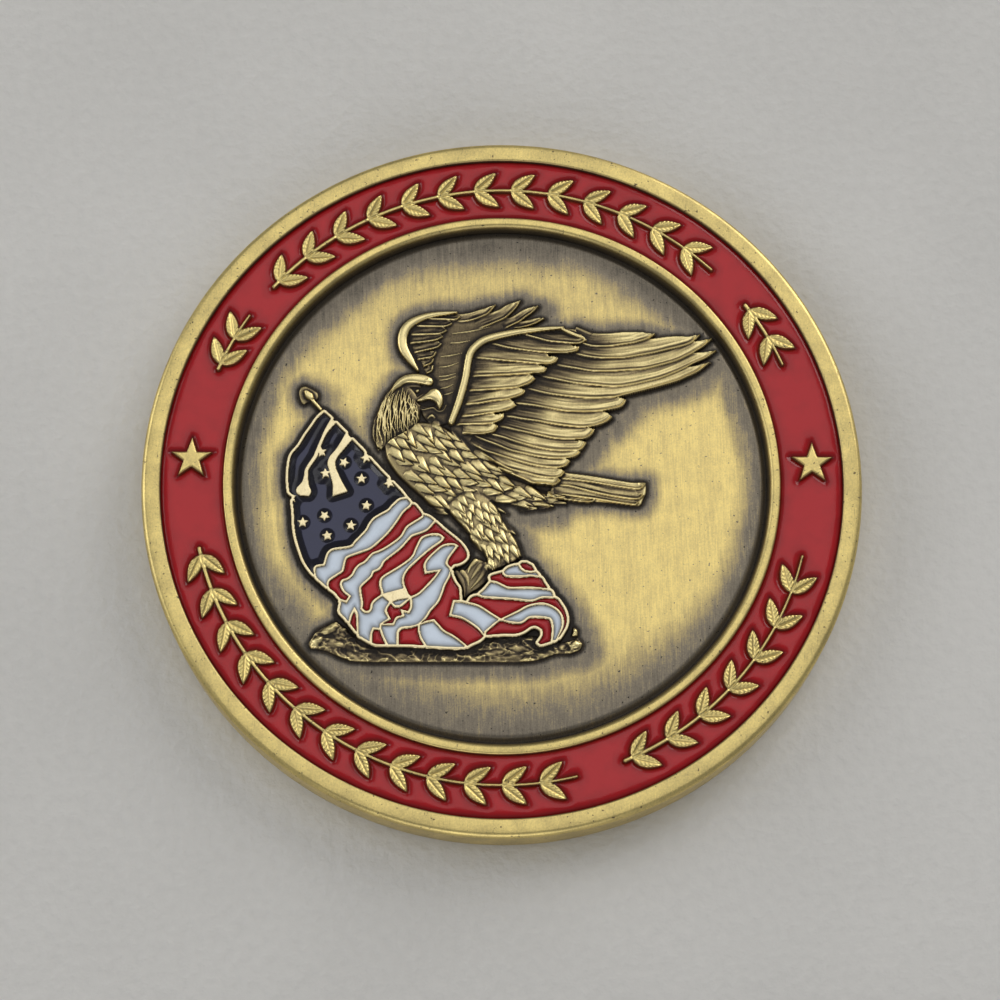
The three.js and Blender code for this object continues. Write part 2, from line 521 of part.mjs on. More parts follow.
// Feathers laid from the lowest to the highest.
function plumage(feathers, height) {
  return feathers.map((one, i) => plate(feather(one), FIELD_TOP - ROOT, height + i * FEATHER_STEP));
}

function raised(outline, height) {
  return plate(outline, FIELD_TOP - ROOT, height);
}

// How far each plate stands out of the field, and the two end widths of each ridge.
const RISE = {
  backFeathers: 0.16, backEdge: 0.36, flightFeathers: 0.22, coverts: 0.38, leadingEdge: 0.52,
  tail: 0.26, body: 0.38, thigh: 0.48, head: 0.42, brow: 0.5, talons: 0.2, rock: 0.22, staff: 0.36,
};
const RIDGE = { backEdge: [0.35, 0.25], leadingEdge: [0.46, 0.3], brow: [0.3, 0.16] };

const relief = joined([
  ...plumage(backFeathers, FIELD_TOP + RISE.backFeathers),
  raised(ribbon(backEdge, ...RIDGE.backEdge), FIELD_TOP + RISE.backEdge),
  ...plumage(flightFeathers, FIELD_TOP + RISE.flightFeathers),
  ...plumage(coverts, FIELD_TOP + RISE.coverts),
  raised(ribbon(leadingEdge, ...RIDGE.leadingEdge), FIELD_TOP + RISE.leadingEdge),
  raised(tail, FIELD_TOP + RISE.tail),
  raised(eagleBody, FIELD_TOP + RISE.body),
  raised(eagleThigh, FIELD_TOP + RISE.thigh),
  raised(eagleHead, FIELD_TOP + RISE.head),
  raised(ribbon(brow, ...RIDGE.brow), FIELD_TOP + RISE.brow),
  raised(talons, FIELD_TOP + RISE.talons),
  raised(rock, FIELD_TOP + RISE.rock),
  raised(staff, FIELD_TOP + RISE.staff),
]);

// ---------------------------------------------------------------- the coin's body

const ARC_MIDDLE = EDGE_ROUND * (1 - Math.SQRT1_2);
const blank = turned([
  [0, REVERSE_DEPTH],
  [REVERSE_RIM - REVERSE_SLOPE, REVERSE_DEPTH],
  [REVERSE_RIM, 0],
  [COIN_RADIUS - EDGE_ROUND, 0],
  [COIN_RADIUS - ARC_MIDDLE, ARC_MIDDLE],
  [COIN_RADIUS, EDGE_ROUND],
  [COIN_RADIUS, COIN_THICKNESS - EDGE_ROUND],
  [COIN_RADIUS - ARC_MIDDLE, COIN_THICKNESS - ARC_MIDDLE],
  [COIN_RADIUS - EDGE_ROUND, COIN_THICKNESS],
  [RING_OUTER, COIN_THICKNESS],
  [RING_OUTER, RING_FLOOR],
  [RING_INNER, RING_FLOOR],
  [RING_INNER, COIN_THICKNESS],
  [BEAD_INNER, COIN_THICKNESS],
  [BEAD_INNER - BEAD_SLOPE, GROOVE_FLOOR],
  [GROOVE_INNER, GROOVE_FLOOR],
  [FIELD_RADIUS, FIELD_TOP],
  [0, FIELD_TOP],
]);

// The reverse: a five-point star inside a wreath of leaves.
const WREATH = { leaves: 28, radius: 17.1, leafLength: 3.1, leafWidth: 1.5, spread: 60 };
const REVERSE_STAR = { outer: 9, inner: 3.6, points: 5 };
const reverseTop = REVERSE_DEPTH - REVERSE_RELIEF;
const wreath = Array.from({ length: WREATH.leaves }, (_, i) => {
  const degrees = (360 * (i + 0.5)) / WREATH.leaves;
  const [x, y] = polar(WREATH.radius, degrees);
  const growth = THREE.MathUtils.degToRad(degrees + (x < 0 ? -WREATH.spread : WREATH.spread));
  const leaf = leafOutline(x, y, growth, WREATH.leafLength, WREATH.leafWidth);
  return plate(leaf, reverseTop, REVERSE_DEPTH + ROOT);
});
const reverseStar = starOutline(0, 0, REVERSE_STAR.outer, REVERSE_STAR.inner, REVERSE_STAR.points);
const reverseRelief = [
  plate(reverseStar, reverseTop, REVERSE_DEPTH + ROOT),
  ...wreath,
];

const flagPlate = raised(inset(flagOutline, -BORDER_WIDTH / 2), FLAG_TOP);
const pockets = cells.map(([, , outline]) => {
  return plate(inset(outline, CLOISON_WIDTH / 2), FLAG_POCKET, COIN_THICKNESS);
});
const cantonIslands = cantonMetal.map((outline) => plate(outline, FLAG_POCKET - ROOT, FLAG_TOP));

const coinBody = joined([
  cutFrom(joined([blank, relief, flagPlate]), pockets),
  ...cantonIslands,
  ...ringIslands.map((outline) => plate(outline, RING_FLOOR - ROOT, COIN_THICKNESS)),
  ...reverseRelief,
]);

// ---------------------------------------------------------------- enamel fills

const ringFill = turned([
  [RING_INNER + ENAMEL_GAP, RING_FLOOR + ENAMEL_GAP],
  [RING_OUTER - ENAMEL_GAP, RING_FLOOR + ENAMEL_GAP],
  [RING_OUTER - ENAMEL_GAP, RING_ENAMEL_TOP],
  [RING_INNER + ENAMEL_GAP, RING_ENAMEL_TOP],
  [RING_INNER + ENAMEL_GAP, RING_FLOOR + ENAMEL_GAP],
]);
const ringHoles = ringIslands.map((outline) => {
  return plate(inset(outline, -ENAMEL_GAP), RING_FLOOR, COIN_THICKNESS);
});
const ringEnamel = cutFrom(ringFill, ringHoles);

function cellEnamel(name, outline) {
  const shrunk = inset(outline, CLOISON_WIDTH / 2 + ENAMEL_GAP);
  const fill = plate(shrunk, FLAG_POCKET + ENAMEL_GAP, FLAG_ENAMEL_TOP);
  if (name !== 'navy_canton') return fill;
  const holes = cantonMetal.map((island) => plate(inset(island, -ENAMEL_GAP), FLAG_POCKET, COIN_THICKNESS));
  return cutFrom(fill, holes);
}

// ---------------------------------------------------------------- assembly

const coin = new THREE.Group();
coin.add(nodeMesh('coin_body', coinBody, antiqueBrass));
coin.add(nodeMesh('red_ring_enamel', ringEnamel, redEnamel));
for (const [name, material, outline] of cells) {
  coin.add(nodeMesh(name, cellEnamel(name, outline), material));
}

export default coin;
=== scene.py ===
import math

import bpy
import numpy as np
from mathutils import Euler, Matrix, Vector


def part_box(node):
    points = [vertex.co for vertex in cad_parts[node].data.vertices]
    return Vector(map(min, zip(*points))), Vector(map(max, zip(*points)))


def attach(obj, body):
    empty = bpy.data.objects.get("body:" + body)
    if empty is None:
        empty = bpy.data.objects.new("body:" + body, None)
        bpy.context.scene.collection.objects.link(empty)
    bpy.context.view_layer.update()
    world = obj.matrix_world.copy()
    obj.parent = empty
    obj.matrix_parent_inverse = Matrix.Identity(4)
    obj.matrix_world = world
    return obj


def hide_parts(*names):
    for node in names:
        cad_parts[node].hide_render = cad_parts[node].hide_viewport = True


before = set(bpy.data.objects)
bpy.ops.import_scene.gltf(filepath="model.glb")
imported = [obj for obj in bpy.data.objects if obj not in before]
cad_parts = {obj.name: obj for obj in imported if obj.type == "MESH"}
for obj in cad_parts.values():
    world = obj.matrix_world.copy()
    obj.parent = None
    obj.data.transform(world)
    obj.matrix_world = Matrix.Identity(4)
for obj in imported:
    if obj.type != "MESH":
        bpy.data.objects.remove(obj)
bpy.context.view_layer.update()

# A struck coin is a height map. One map of the whole obverse, in millimetres, is built up in
# layers (field, wings, body, rock, flag, ring ornament), and cut into pieces by what each
# point belongs to. Enamel fills are height maps too, and the rims are turned profiles.

# ---------------------------------------------------------------- sizes, in millimetres

MM = 0.001
_, body_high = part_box("coin_body")
ring_low, ring_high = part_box("red_ring_enamel")
cell_low, cell_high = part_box("red_stripe_1")

COIN_RADIUS = body_high.x / MM
RIM_TOP = body_high.z / MM
RING_ENAMEL_TOP = ring_high.z / MM
RING_FLOOR = ring_low.z / MM
RING_OUTER = 21.3            # radii of the red ring, and of the middle of its ornament
RING_INNER = 17.4
RING_MIDDLE = 19.27
BEAD_FOOT = 16.62            # the bead between the ring and the groove around the field
GROOVE_FLOOR = RIM_TOP - 0.8
FIELD_RADIUS = 16.12
FIELD_TOP = RIM_TOP - 0.55
FLAG_TOP = RIM_TOP - 0.1
FLAG_FLOOR = cell_low.z / MM
CELL_ENAMEL_TOP = cell_high.z / MM
HIGHEST = RIM_TOP - 0.004    # no relief stands higher, so that the coin rests on its rim
REVERSE_DEPTH = 0.45
REVERSE_RIM = 20.9
EDGE_ROUND = 0.35
SMALL_ROUND = 0.14
BEAD_SHOULDER = 0.3

STEP = 0.04                  # spacing of the height map
HALF_CELLS = 536             # cells from the middle to the map's edge
BLOCK = 2                    # cells along the side of one coarse face of the field
WALL = 0.09                  # width of the slope at the edge of a shape

# ---------------------------------------------------------------- noise

def lattice_noise(x, y, scale_x, scale_y, seed):
    """Smooth noise from -1 to 1 whose bumps are scale_x by scale_y wide."""
    u, v = x / scale_x + 1000.0, y / scale_y + 1000.0
    column, row = np.floor(u).astype(np.int64), np.floor(v).astype(np.int64)
    fu, fv = u - column, v - row
    fu, fv = fu * fu * (3 - 2 * fu), fv * fv * (3 - 2 * fv)

    def corner(i, j):
        mixed = (i * 374761393 + j * 668265263 + seed * 974634777) & 0x7FFFFFFF
        mixed = ((mixed ^ (mixed >> 13)) * 1274126177) & 0x7FFFFFFF
        return ((mixed ^ (mixed >> 16)) & 0xFFFF) / 32767.5 - 1

    low = corner(column, row) * (1 - fu) + corner(column + 1, row) * fu
    high = corner(column, row + 1) * (1 - fu) + corner(column + 1, row + 1) * fu
    return low * (1 - fv) + high * fv


def rough_noise(x, y, scale, seed, octaves=3):
    """Octaves of that noise, each half as wide and half as strong as the one before."""
    total = 0
    for octave in range(octaves):
        finer = scale / 2**octave
        total = total + lattice_noise(x, y, finer, finer, seed + octave) / 2**octave
    return total


# ---------------------------------------------------------------- lines and outlines

def step_up(value, low, high):
    """0 below low, 1 above high, and a smooth rise between."""
    t = np.clip((value - low) / (high - low), 0, 1)
    return t * t * (3 - 2 * t)


def smooth_line(points, steps=5):
    """An open curve through the points."""
    p = np.array(points, float)
    if len(p) < 3:
        return p
    p = np.vstack([2 * p[0] - p[1], p, 2 * p[-1] - p[-2]])
    t = np.linspace(0, 1, steps, endpoint=False)[:, None]
    made = []
    for a, b, c, d in zip(p[:-3], p[1:-2], p[2:-1], p[3:]):
        made.append(0.5 * (2 * b + (c - a) * t + (2 * a - 5 * b + 4 * c - d) * t**2
                           + (3 * b - a - 3 * c + d) * t**3))
    return np.vstack([*made, p[-2:-1]])


def smooth_loop(points, steps=4, corner_degrees=52):
    """A closed curve through the points, kept sharp where it turns by more than the given angle."""
    p = np.array(points, float)
    into, away = p - np.roll(p, 1, 0), np.roll(p, -1, 0) - p
    cross = into[:, 0] * away[:, 1] - into[:, 1] * away[:, 0]
    turn = np.abs(np.arctan2(cross, (into * away).sum(1)))
    corners = np.flatnonzero(turn > math.radians(corner_degrees))
    if len(corners) == 0:
        wrapped = np.vstack([p[-2:], p, p[:3]])
        dense = smooth_line(wrapped, steps)
        return dense[2 * steps:(len(p) + 2) * steps]
    made = []
    for first, last in zip(corners, np.roll(corners, -1)):
        count = (last - first) % len(p) or len(p)
        run = p[(first + np.arange(count + 1)) % len(p)]
        made.append(smooth_line(run, steps)[:-1] if len(run) > 2 else run[:-1])
    return np.vstack(made)


def nearest(line, x, y):
    """How far along an open line each point lies (0 to 1), and how far aside (left is positive)."""
    lengths = np.hypot(*np.diff(line, axis=0).T)
    starts = np.concatenate([[0], np.cumsum(lengths)])
    best = np.full(x.shape, np.inf)
    along, side = np.zeros(x.shape), np.zeros(x.shape)
    for (ax, ay), (bx, by), start, length in zip(line[:-1], line[1:], starts, lengths):
        dx, dy = bx - ax, by - ay
        u = np.clip(((x - ax) * dx + (y - ay) * dy) / (length * length), 0, 1)
        ex, ey = x - ax - u * dx, y - ay - u * dy
        squared = ex * ex + ey * ey
        closer = squared < best
        best = np.where(closer, squared, best)
        along = np.where(closer, start + u * length, along)
        side = np.where(closer, dx * ey - dy * ex, side)
    return along / starts[-1], np.sqrt(best) * np.where(side < 0, -1, 1)


def depth_inside(loops, x, y):
    """Distance to the nearest outline, positive inside. A loop within a loop is a hole."""
    best = np.full(x.shape, np.inf)
    inside = np.zeros(x.shape, bool)
    for loop in loops:
        for (ax, ay), (bx, by) in zip(loop, np.roll(loop, -1, 0)):
            dx, dy = bx - ax, by - ay
            length = dx * dx + dy * dy
            if length < 1e-12:
                continue
            u = np.clip(((x - ax) * dx + (y - ay) * dy) / length, 0, 1)
            best = np.minimum(best, (x - ax - u * dx) ** 2 + (y - ay - u * dy) ** 2)
            if ay != by:
                inside ^= ((ay > y) != (by > y)) & (x < dx * (y - ay) / dy + ax)
    return np.sqrt(best) * np.where(inside, 1, -1)


def star_loop(x, y, outer, inner):
    """A five-pointed star, one point up."""
    corner = np.arange(10)
    angles = math.pi / 2 + corner * math.pi / 5
    radii = np.where(corner % 2, inner, outer)
    return np.stack([x + radii * np.cos(angles), y + radii * np.sin(angles)], 1)


def leaf_loop(x, y, direction, length, width):
    """A pointed laurel leaf from its base, along a direction in radians."""
    t = np.linspace(0, 1, 13)
    half = width / 2 * np.sin(math.pi * t**0.8) ** 0.85
    along = np.concatenate([t, t[-2:0:-1]]) * length
    aside = np.concatenate([half, -half[-2:0:-1]])
    c, s = math.cos(direction), math.sin(direction)
    return np.stack([x + c * along - s * aside, y + s * along + c * aside], 1)


def polar(r, degrees):
    return r * math.cos(math.radians(degrees)), r * math.sin(math.radians(degrees))


def turned(x, y, direction):
    """Places as distances along a direction in radians, and to its left."""
    c, s = math.cos(direction), math.sin(direction)
    return x * c + y * s, -x * s + y * c


# ---------------------------------------------------------------- the height map

ticks = np.arange(-HALF_CELLS, HALF_CELLS + 1) * STEP
grid_x, grid_y = np.meshgrid(ticks, ticks)
radius = np.hypot(grid_x, grid_y)
height = np.full(grid_x.shape, FIELD_TOP)
owner = np.zeros(grid_x.shape, np.int8)
# The darkening map below holds real tarnish, and also the painted shadows and painted light and shade of the
# body feathers.
tarnish_and_shade = np.zeros(grid_x.shape)     # how much darker than its height alone would make it
(FIELD, BACK_WING, TAIL, FRONT_WING, ROCK, TALONS, BODY, HEAD, FLAG, STAFF, GROOVE, SPRIGS,
 STARS) = range(13)           # owners; each higher one is cut to cover its lower neighbours' edges


def window(points, margin):
    """The part of the map around some points."""
    p = np.array(points, float).reshape(-1, 2)
    low = np.floor((p.min(0) - margin) / STEP).astype(int) + HALF_CELLS
    high = np.ceil((p.max(0) + margin) / STEP).astype(int) + HALF_CELLS + 1
    last = 2 * HALF_CELLS + 1
    return (slice(max(low[1], 0), min(high[1], last)), slice(max(low[0], 0), min(high[0], last)))


def lay(where, surface, inside, who, wall=WALL, darkening=0.0):
    """Lays a shape on the map: its surface, and how far inside its outline each point is."""
    cover = step_up(inside, 0, wall)
    height[where] += (surface - height[where]) * cover
    tarnish_and_shade[where] += (darkening - tarnish_and_shade[where]) * cover
    owner[where] = np.where(inside > 0, who, owner[where])


def lay_rod(points, halves, base, crown, who, wall=0.05, darkening=0.0):
    """A rounded ridge along a line. halves are its half-widths, spaced evenly along it."""
    line = smooth_line(points)
    halves = np.atleast_1d(halves).astype(float)
    where = window(line, halves.max() + 0.1)
    x, y = grid_x[where], grid_y[where]
    along, aside = nearest(line, x, y)
    half = np.interp(along, np.linspace(0, 1, len(halves)), halves)
    level = base(x, y) if callable(base) else base
    surface = level + crown * np.sqrt(np.clip(1 - (aside / half) ** 2, 0, 1))
    lay(where, surface, half - np.abs(aside), who, wall, darkening)


def lay_pillow(points, base, crown, reach, who, wall=WALL, darkening=0.0):
    """A cushion-like swelling inside a closed outline, full height at `reach` from its edge."""
    loop = smooth_loop(points)
    where = window(loop, 0.1)
    x, y = grid_x[where], grid_y[where]
    inside = depth_inside([loop], x, y)
    rise = 1 - np.clip(inside / reach, 0, 1)
    level = base(x, y) if callable(base) else base
    lay(where, level + crown * np.sqrt(1 - rise**2), inside, who, wall, darkening)


LIP_AT = 0.075               # where a feather's bright lip and the groove behind it lie, from its edge
GROOVE_AT = 0.2
LINE_SPREAD = 0.055


def lay_feather(points, width, pointed, base, lift, who, seed, lip=0.05, pitch=0.9, darkening=0.0, limit=None):
    """A feather given by its lower edge from root to tip: a bright lip along that edge with a thin
    groove behind it, a vane that sinks away from it under the next feather, and streaky barbs."""
    line = smooth_line(points)
    where = window(line, width + 0.15)
    x, y = grid_x[where], grid_y[where]
    along, aside = nearest(line, x, y)
    taper = (1 - along**6) ** 0.8 if pointed else np.sqrt(np.clip(1 - along**16, 0, 1))
    span = width * taper + 1e-6
    inside = np.minimum(aside, span - aside)
    inside = np.where((along <= 0) | (along >= 1), -1, inside)
    if limit is not None:
        inside = np.minimum(inside, limit(x, y))
    root = step_up(along, 0, 0.12)
    vane = root * lift * (1 - np.clip(aside / pitch, 0, 1)) ** 1.2
    bead = root * lip * np.exp(-(((aside - LIP_AT) / LINE_SPREAD) ** 2)) * (0.6 + 0.4 * step_up(along, 0, 0.4))
    tip = lip * 0.8 * np.exp(-(((span - aside) / 0.1) ** 2)) * step_up(along, 0.8, 0.95)
    groove = np.exp(-(((aside - GROOVE_AT) / LINE_SPREAD) ** 2)) * step_up(along, 0.02, 0.2)
    length = along * 8
    barbs = lattice_noise(aside + 0.015 * length, length, 0.085, 1.7, seed)
    barbs = barbs + 0.7 * lattice_noise(aside - 0.03 * length, length, 0.16, 1.1, seed + 1)
    barb_depth = 0.013 * step_up(aside, 0.1, 0.22)
    on_lip = np.maximum(np.exp(-(((aside - 0.06) / 0.075) ** 2)), tip / lip)
    shade = darkening(x, y) if callable(darkening) else darkening
    shade = (shade - 0.08 * barbs) * (1 - on_lip) + 0.14 * groove
    surface = base(x, y) + vane + bead + tip - 0.035 * groove + barbs * barb_depth
    lay(where, surface, inside, who, 0.06, shade)


def lay_scale(x0, y0, direction, length, width, base, lift, who):
    """A pointed body feather: a ridge that climbs to a sharp tip standing proud of what is below it, with a
    cleft cut round the tip that is painted dark as the tip's shadow. The feather itself is painted lighter at
    its tip and ridge and darker at its root and flanks, as light and shade."""
    where = window([[x0, y0]], length * 1.3)
    along, aside = turned(grid_x[where] - x0, grid_y[where] - y0, direction)
    along, aside = along / length, aside / (width / 2)

    def outline(stretch, spread):
        clipped = np.clip(along / stretch, 0, 1)
        half = (1 - clipped) ** 0.8 * np.clip(0.45 + clipped / 0.35, 0, 1)
        inside = (half * spread - np.abs(aside)) * width / 2 * 0.8
        return clipped, half, np.where((along < 0) | (along > stretch), -1, inside)

    _, _, cleft = outline(1.09, 1.2)
    cleft = np.where(along < 0.38, -1, cleft)
    # painted shadow: the cleft round the tip is darkened as the tip's shadow
    lay(where, base[where] + 0.08 * lift, cleft, who, 0.05, 0.6)
    clipped, half, inside = outline(1, 1)
    ridge = 1 - np.clip(np.abs(aside) / np.maximum(half, 1e-3), 0, 1)
    surface = base[where] + lift * (0.2 + 0.8 * clipped**1.1) * (0.35 + 0.65 * ridge)
    # painted light and shade: lighter at the tip and along the ridge, darker at the root and on the flanks
    lay(where, surface, inside, who, 0.035, 0.3 * (1 - clipped) ** 2 + 0.14 * (1 - ridge) - 0.2)


def blurred(values, reach):
    """The map smoothed over about `reach` millimetres, by three running means each way."""
    size = max(int(round(reach / STEP)) | 1, 3)
    for _ in range(3):
        for axis in (0, 1):
            padding = [(0, 0), (0, 0)]
            padding[axis] = (size // 2 + 1, size // 2)
            running = np.cumsum(np.pad(values, padding, "edge"), axis)
            upper = np.take(running, np.arange(size, running.shape[axis]), axis)
            lower = np.take(running, np.arange(running.shape[axis] - size), axis)
            values = (upper - lower) / size
    return values


def distance_from(mask, reach):
    """Distance of every point from the masked ones, up to `reach` millimetres."""
    cells = int(reach / STEP)
    squared = np.where(mask, 0.0, float(cells * cells))
    for axis in (1, 0):
        nearer = squared.copy()
        for shift in range(1, cells + 1):
            for sign in (-1, 1):
                moved = np.roll(squared, sign * shift, axis) + shift * shift
                nearer = np.minimum(nearer, moved)
        squared = nearer
    return np.sqrt(squared) * STEP


# ---------------------------------------------------------------- back wing and tail

def above_field(amount):
    """A level base for a shape, that much above the field."""
    return lambda x, y: FIELD_TOP + amount + 0 * x


def back_wing_base(x, y):
    return FIELD_TOP + 0.1 + 0.06 * step_up(y, 9.5, 11.5) + 0.012 * lattice_noise(x, y, 1.4, 0.25, 11)


def raised_web(x, y):
    return back_wing_base(x, y) + 0.03


def make_back_wing():
    web = [(-5.2, 6.6), (-5.9, 8), (-6.2, 9.2), (-5.6, 10.4), (-4, 10.9), (-2.7, 10.95), (-1.2, 10.95),
           (-0.3, 10.9), (0.6, 10.75), (1.3, 10.5), (2, 10.2), (1, 9.7), (-1, 9.4), (-2.2, 8.4), (-2.6, 6),
           (-3.3, 3.7), (-4.4, 3.4), (-5.2, 4.6)]
    lay_pillow(web, back_wing_base, 0.03, 0.4, BACK_WING, darkening=0.1)
    quills = [
        [(-3.2, 9.66), (-2.2, 9.8), (-1.4, 9.97), (-0.8, 10.15)],
        [(-3.3, 9.03), (-2.7, 9.08), (-2.1, 9.2)],
        [(-3.9, 8.12), (-3.3, 8.2), (-2.6, 8.36)],
        [(-4, 7.42), (-3.4, 7.5), (-2.8, 7.73)],
        [(-4, 6.8), (-3.5, 6.85), (-3, 7)],
        [(-3.95, 6.55), (-3.4, 6.65), (-3, 6.8)],
        [(-3.9, 6), (-3.5, 6.1), (-3.1, 6.3)],
        [(-3.7, 5.6), (-3.4, 5.66), (-3.1, 5.8)],
    ]
    for quill in quills:
        lay_rod(quill, [0.03, 0.055, 0.02], raised_web, 0.06, BACK_WING, 0.03, darkening=-0.2)
    primaries = [
        ([(0.6, 10), (1.2, 10.05), (2.04, 10.3), (2.7, 10.68)], 0.5),
        ([(0.1, 9.95), (0.58, 10.19), (1.04, 10.42), (1.5, 10.77), (1.96, 11.12), (2.3, 11.52)], 0.62),
        ([(-1.6, 9.9), (-0.96, 10.15), (-0.35, 10.42), (0.19, 10.69), (0.65, 11.12), (0.96, 11.5),
          (1.15, 11.9)], 0.8),
        ([(-3, 10.4), (-2.4, 10.42), (-1.9, 10.52), (-1.5, 10.67), (-0.96, 10.92), (-0.62, 11.27),
          (-0.42, 11.58)], 0.62),
    ]
    for number, (line, width) in enumerate(primaries):
        lay_feather(line, width, True, raised_web, 0.06, BACK_WING, 40 + number, 0.08, 0.5, 0.16)
    coverts = [
        ([(-4.8, 6.9), (-4.42, 7.1), (-4.33, 7.5)], 0.45),
        ([(-5, 7.38), (-4.65, 7.5), (-4.42, 7.65), (-4.3, 7.9)], 0.5),
        ([(-5.4, 7.82), (-4.81, 7.92), (-4.35, 8.04), (-4.15, 8.36)], 0.55),
        ([(-5.6, 8.28), (-4.81, 8.46), (-4.12, 8.65), (-3.83, 8.9)], 0.6),
        ([(-5.9, 8.9), (-4.96, 9), (-4.19, 9.15), (-3.75, 9.35)], 0.62),
        ([(-5.9, 9.48), (-4.81, 9.5), (-3.96, 9.56), (-3.52, 9.78)], 0.62),
        ([(-5.6, 10.06), (-4.58, 10.04), (-3.65, 10.05), (-3.18, 10.24)], 0.58),
        ([(-4.9, 10.53), (-3.81, 10.52), (-3, 10.5), (-2.68, 10.72)], 0.42),
    ]
    for number, (line, width) in enumerate(coverts):
        lay_feather(line, width, False, above_field(0.18), 0.07, BACK_WING, 50 + number, 0.09, 0.5, 0.22)
    bar = [(-5.35, 7.15), (-5.85, 7.88), (-6.23, 8.5), (-6.36, 9.04), (-6.3, 9.6), (-6.02, 10.12),
           (-5.5, 10.5), (-4.81, 10.77), (-4.04, 10.92), (-2.95, 11.02)]
    halves = [0.1, 0.24, 0.32, 0.34, 0.33, 0.29, 0.24, 0.2, 0.16, 0.09]
    lay_rod(bar, halves, FIELD_TOP + 0.26, 0.18, BACK_WING)


def make_tail():
    feathers = [
        ([(2.8, -1.1), (4.2, -1.32), (5.26, -1.43), (5.72, -1.38), (5.9, -1.18)], 0.5),
        ([(3.2, -0.9), (4.8, -1.1), (5.87, -1.24), (6.57, -1.36), (7.43, -1.5), (8.3, -1.6),
          (8.6, -1.4)], 0.62),
        ([(3.4, -0.35), (4.2, -0.42), (5.7, -0.8), (7, -1.06), (8.45, -1.22), (8.9, -0.95)], 0.72),
        ([(3.4, 0.1), (4.3, 0.02), (5.7, -0.16), (7.4, -0.44), (8.6, -0.56), (9, -0.25)], 0.52),
    ]
    web = [(2.8, -1.2), (5.9, -1.38), (8.3, -1.62), (8.75, -1.5), (8.9, -1.1), (9.05, -0.75), (9.05, -0.2),
           (8.85, 0), (7.4, 0), (5.7, 0.3), (3.4, 0.6)]
    lay_pillow(web, above_field(0.14), 0.05, 0.2, TAIL, darkening=-0.06)
    for number, (line, width) in enumerate(feathers):
        lay_feather(line, width, False, above_field(0.18), 0.08, TAIL, 70 + number, 0.1, 0.6, -0.08)
        middle = [(x - 0.1, y + width * 0.45) for x, y in line[1:-1]]
        lay_rod(middle, [0.03, 0.04, 0.03], above_field(0.19), 0.05, TAIL, 0.03)
    lumps = [[(-0.3, -1.15), (0.6, -1.3), (1.7, -1.75)], [(0.8, -1.2), (2, -1.4), (3.2, -1.62)],
             [(1.9, -1.1), (3.1, -1.3), (4, -1.42)]]
    for lump in lumps:
        lay_rod(lump, [0.3, 0.24, 0.08], above_field(0.08), 0.1, TAIL)


# ---------------------------------------------------------------- front wing

COVERT_ENDS = [(-1, 2.6), (-0.2, 3.2), (0.1, 4.1), (0.9, 4.7), (1.47, 5.7), (2.1, 6.5), (2.8, 7.2),
               (3.5, 7.9), (4.87, 8.6), (5.3, 9.2)]
WING_BAR = [(-3.2, 3.75), (-2.77, 4.97), (-2.37, 6.5), (-2.2, 7.63), (-2.07, 8.23), (-1.77, 8.7),
            (-1.17, 9.17), (-0.17, 9.5), (1.17, 9.77), (2.5, 9.93), (3.8, 10.03)]


def beyond(line, x, y):
    """How far to the right of a line each point lies."""
    return -nearest(np.array(line), x, y)[1]


def flight_base(x, y):
    return FIELD_TOP + 0.13 + 0.2 * step_up(beyond(COVERT_ENDS, x, y), 0.1, 2.4) - 0.08 * step_up(x, 9, 14)


def flight_shade(x, y):
    return 0.1 + 0.17 * (1 - step_up(beyond(COVERT_ENDS, x, y), 0.2, 2.4))


def covert_base(x, y):
    return FIELD_TOP + 0.18 + 0.17 * step_up(beyond(WING_BAR, x, y), 0.25, 2.6)


def covert_shade(x, y):
    return 0.08 + 0.2 * (1 - step_up(beyond(WING_BAR, x, y), 0.1, 2.2))


def right_of_bar(x, y):
    return 0.15 + beyond(WING_BAR, x, y)


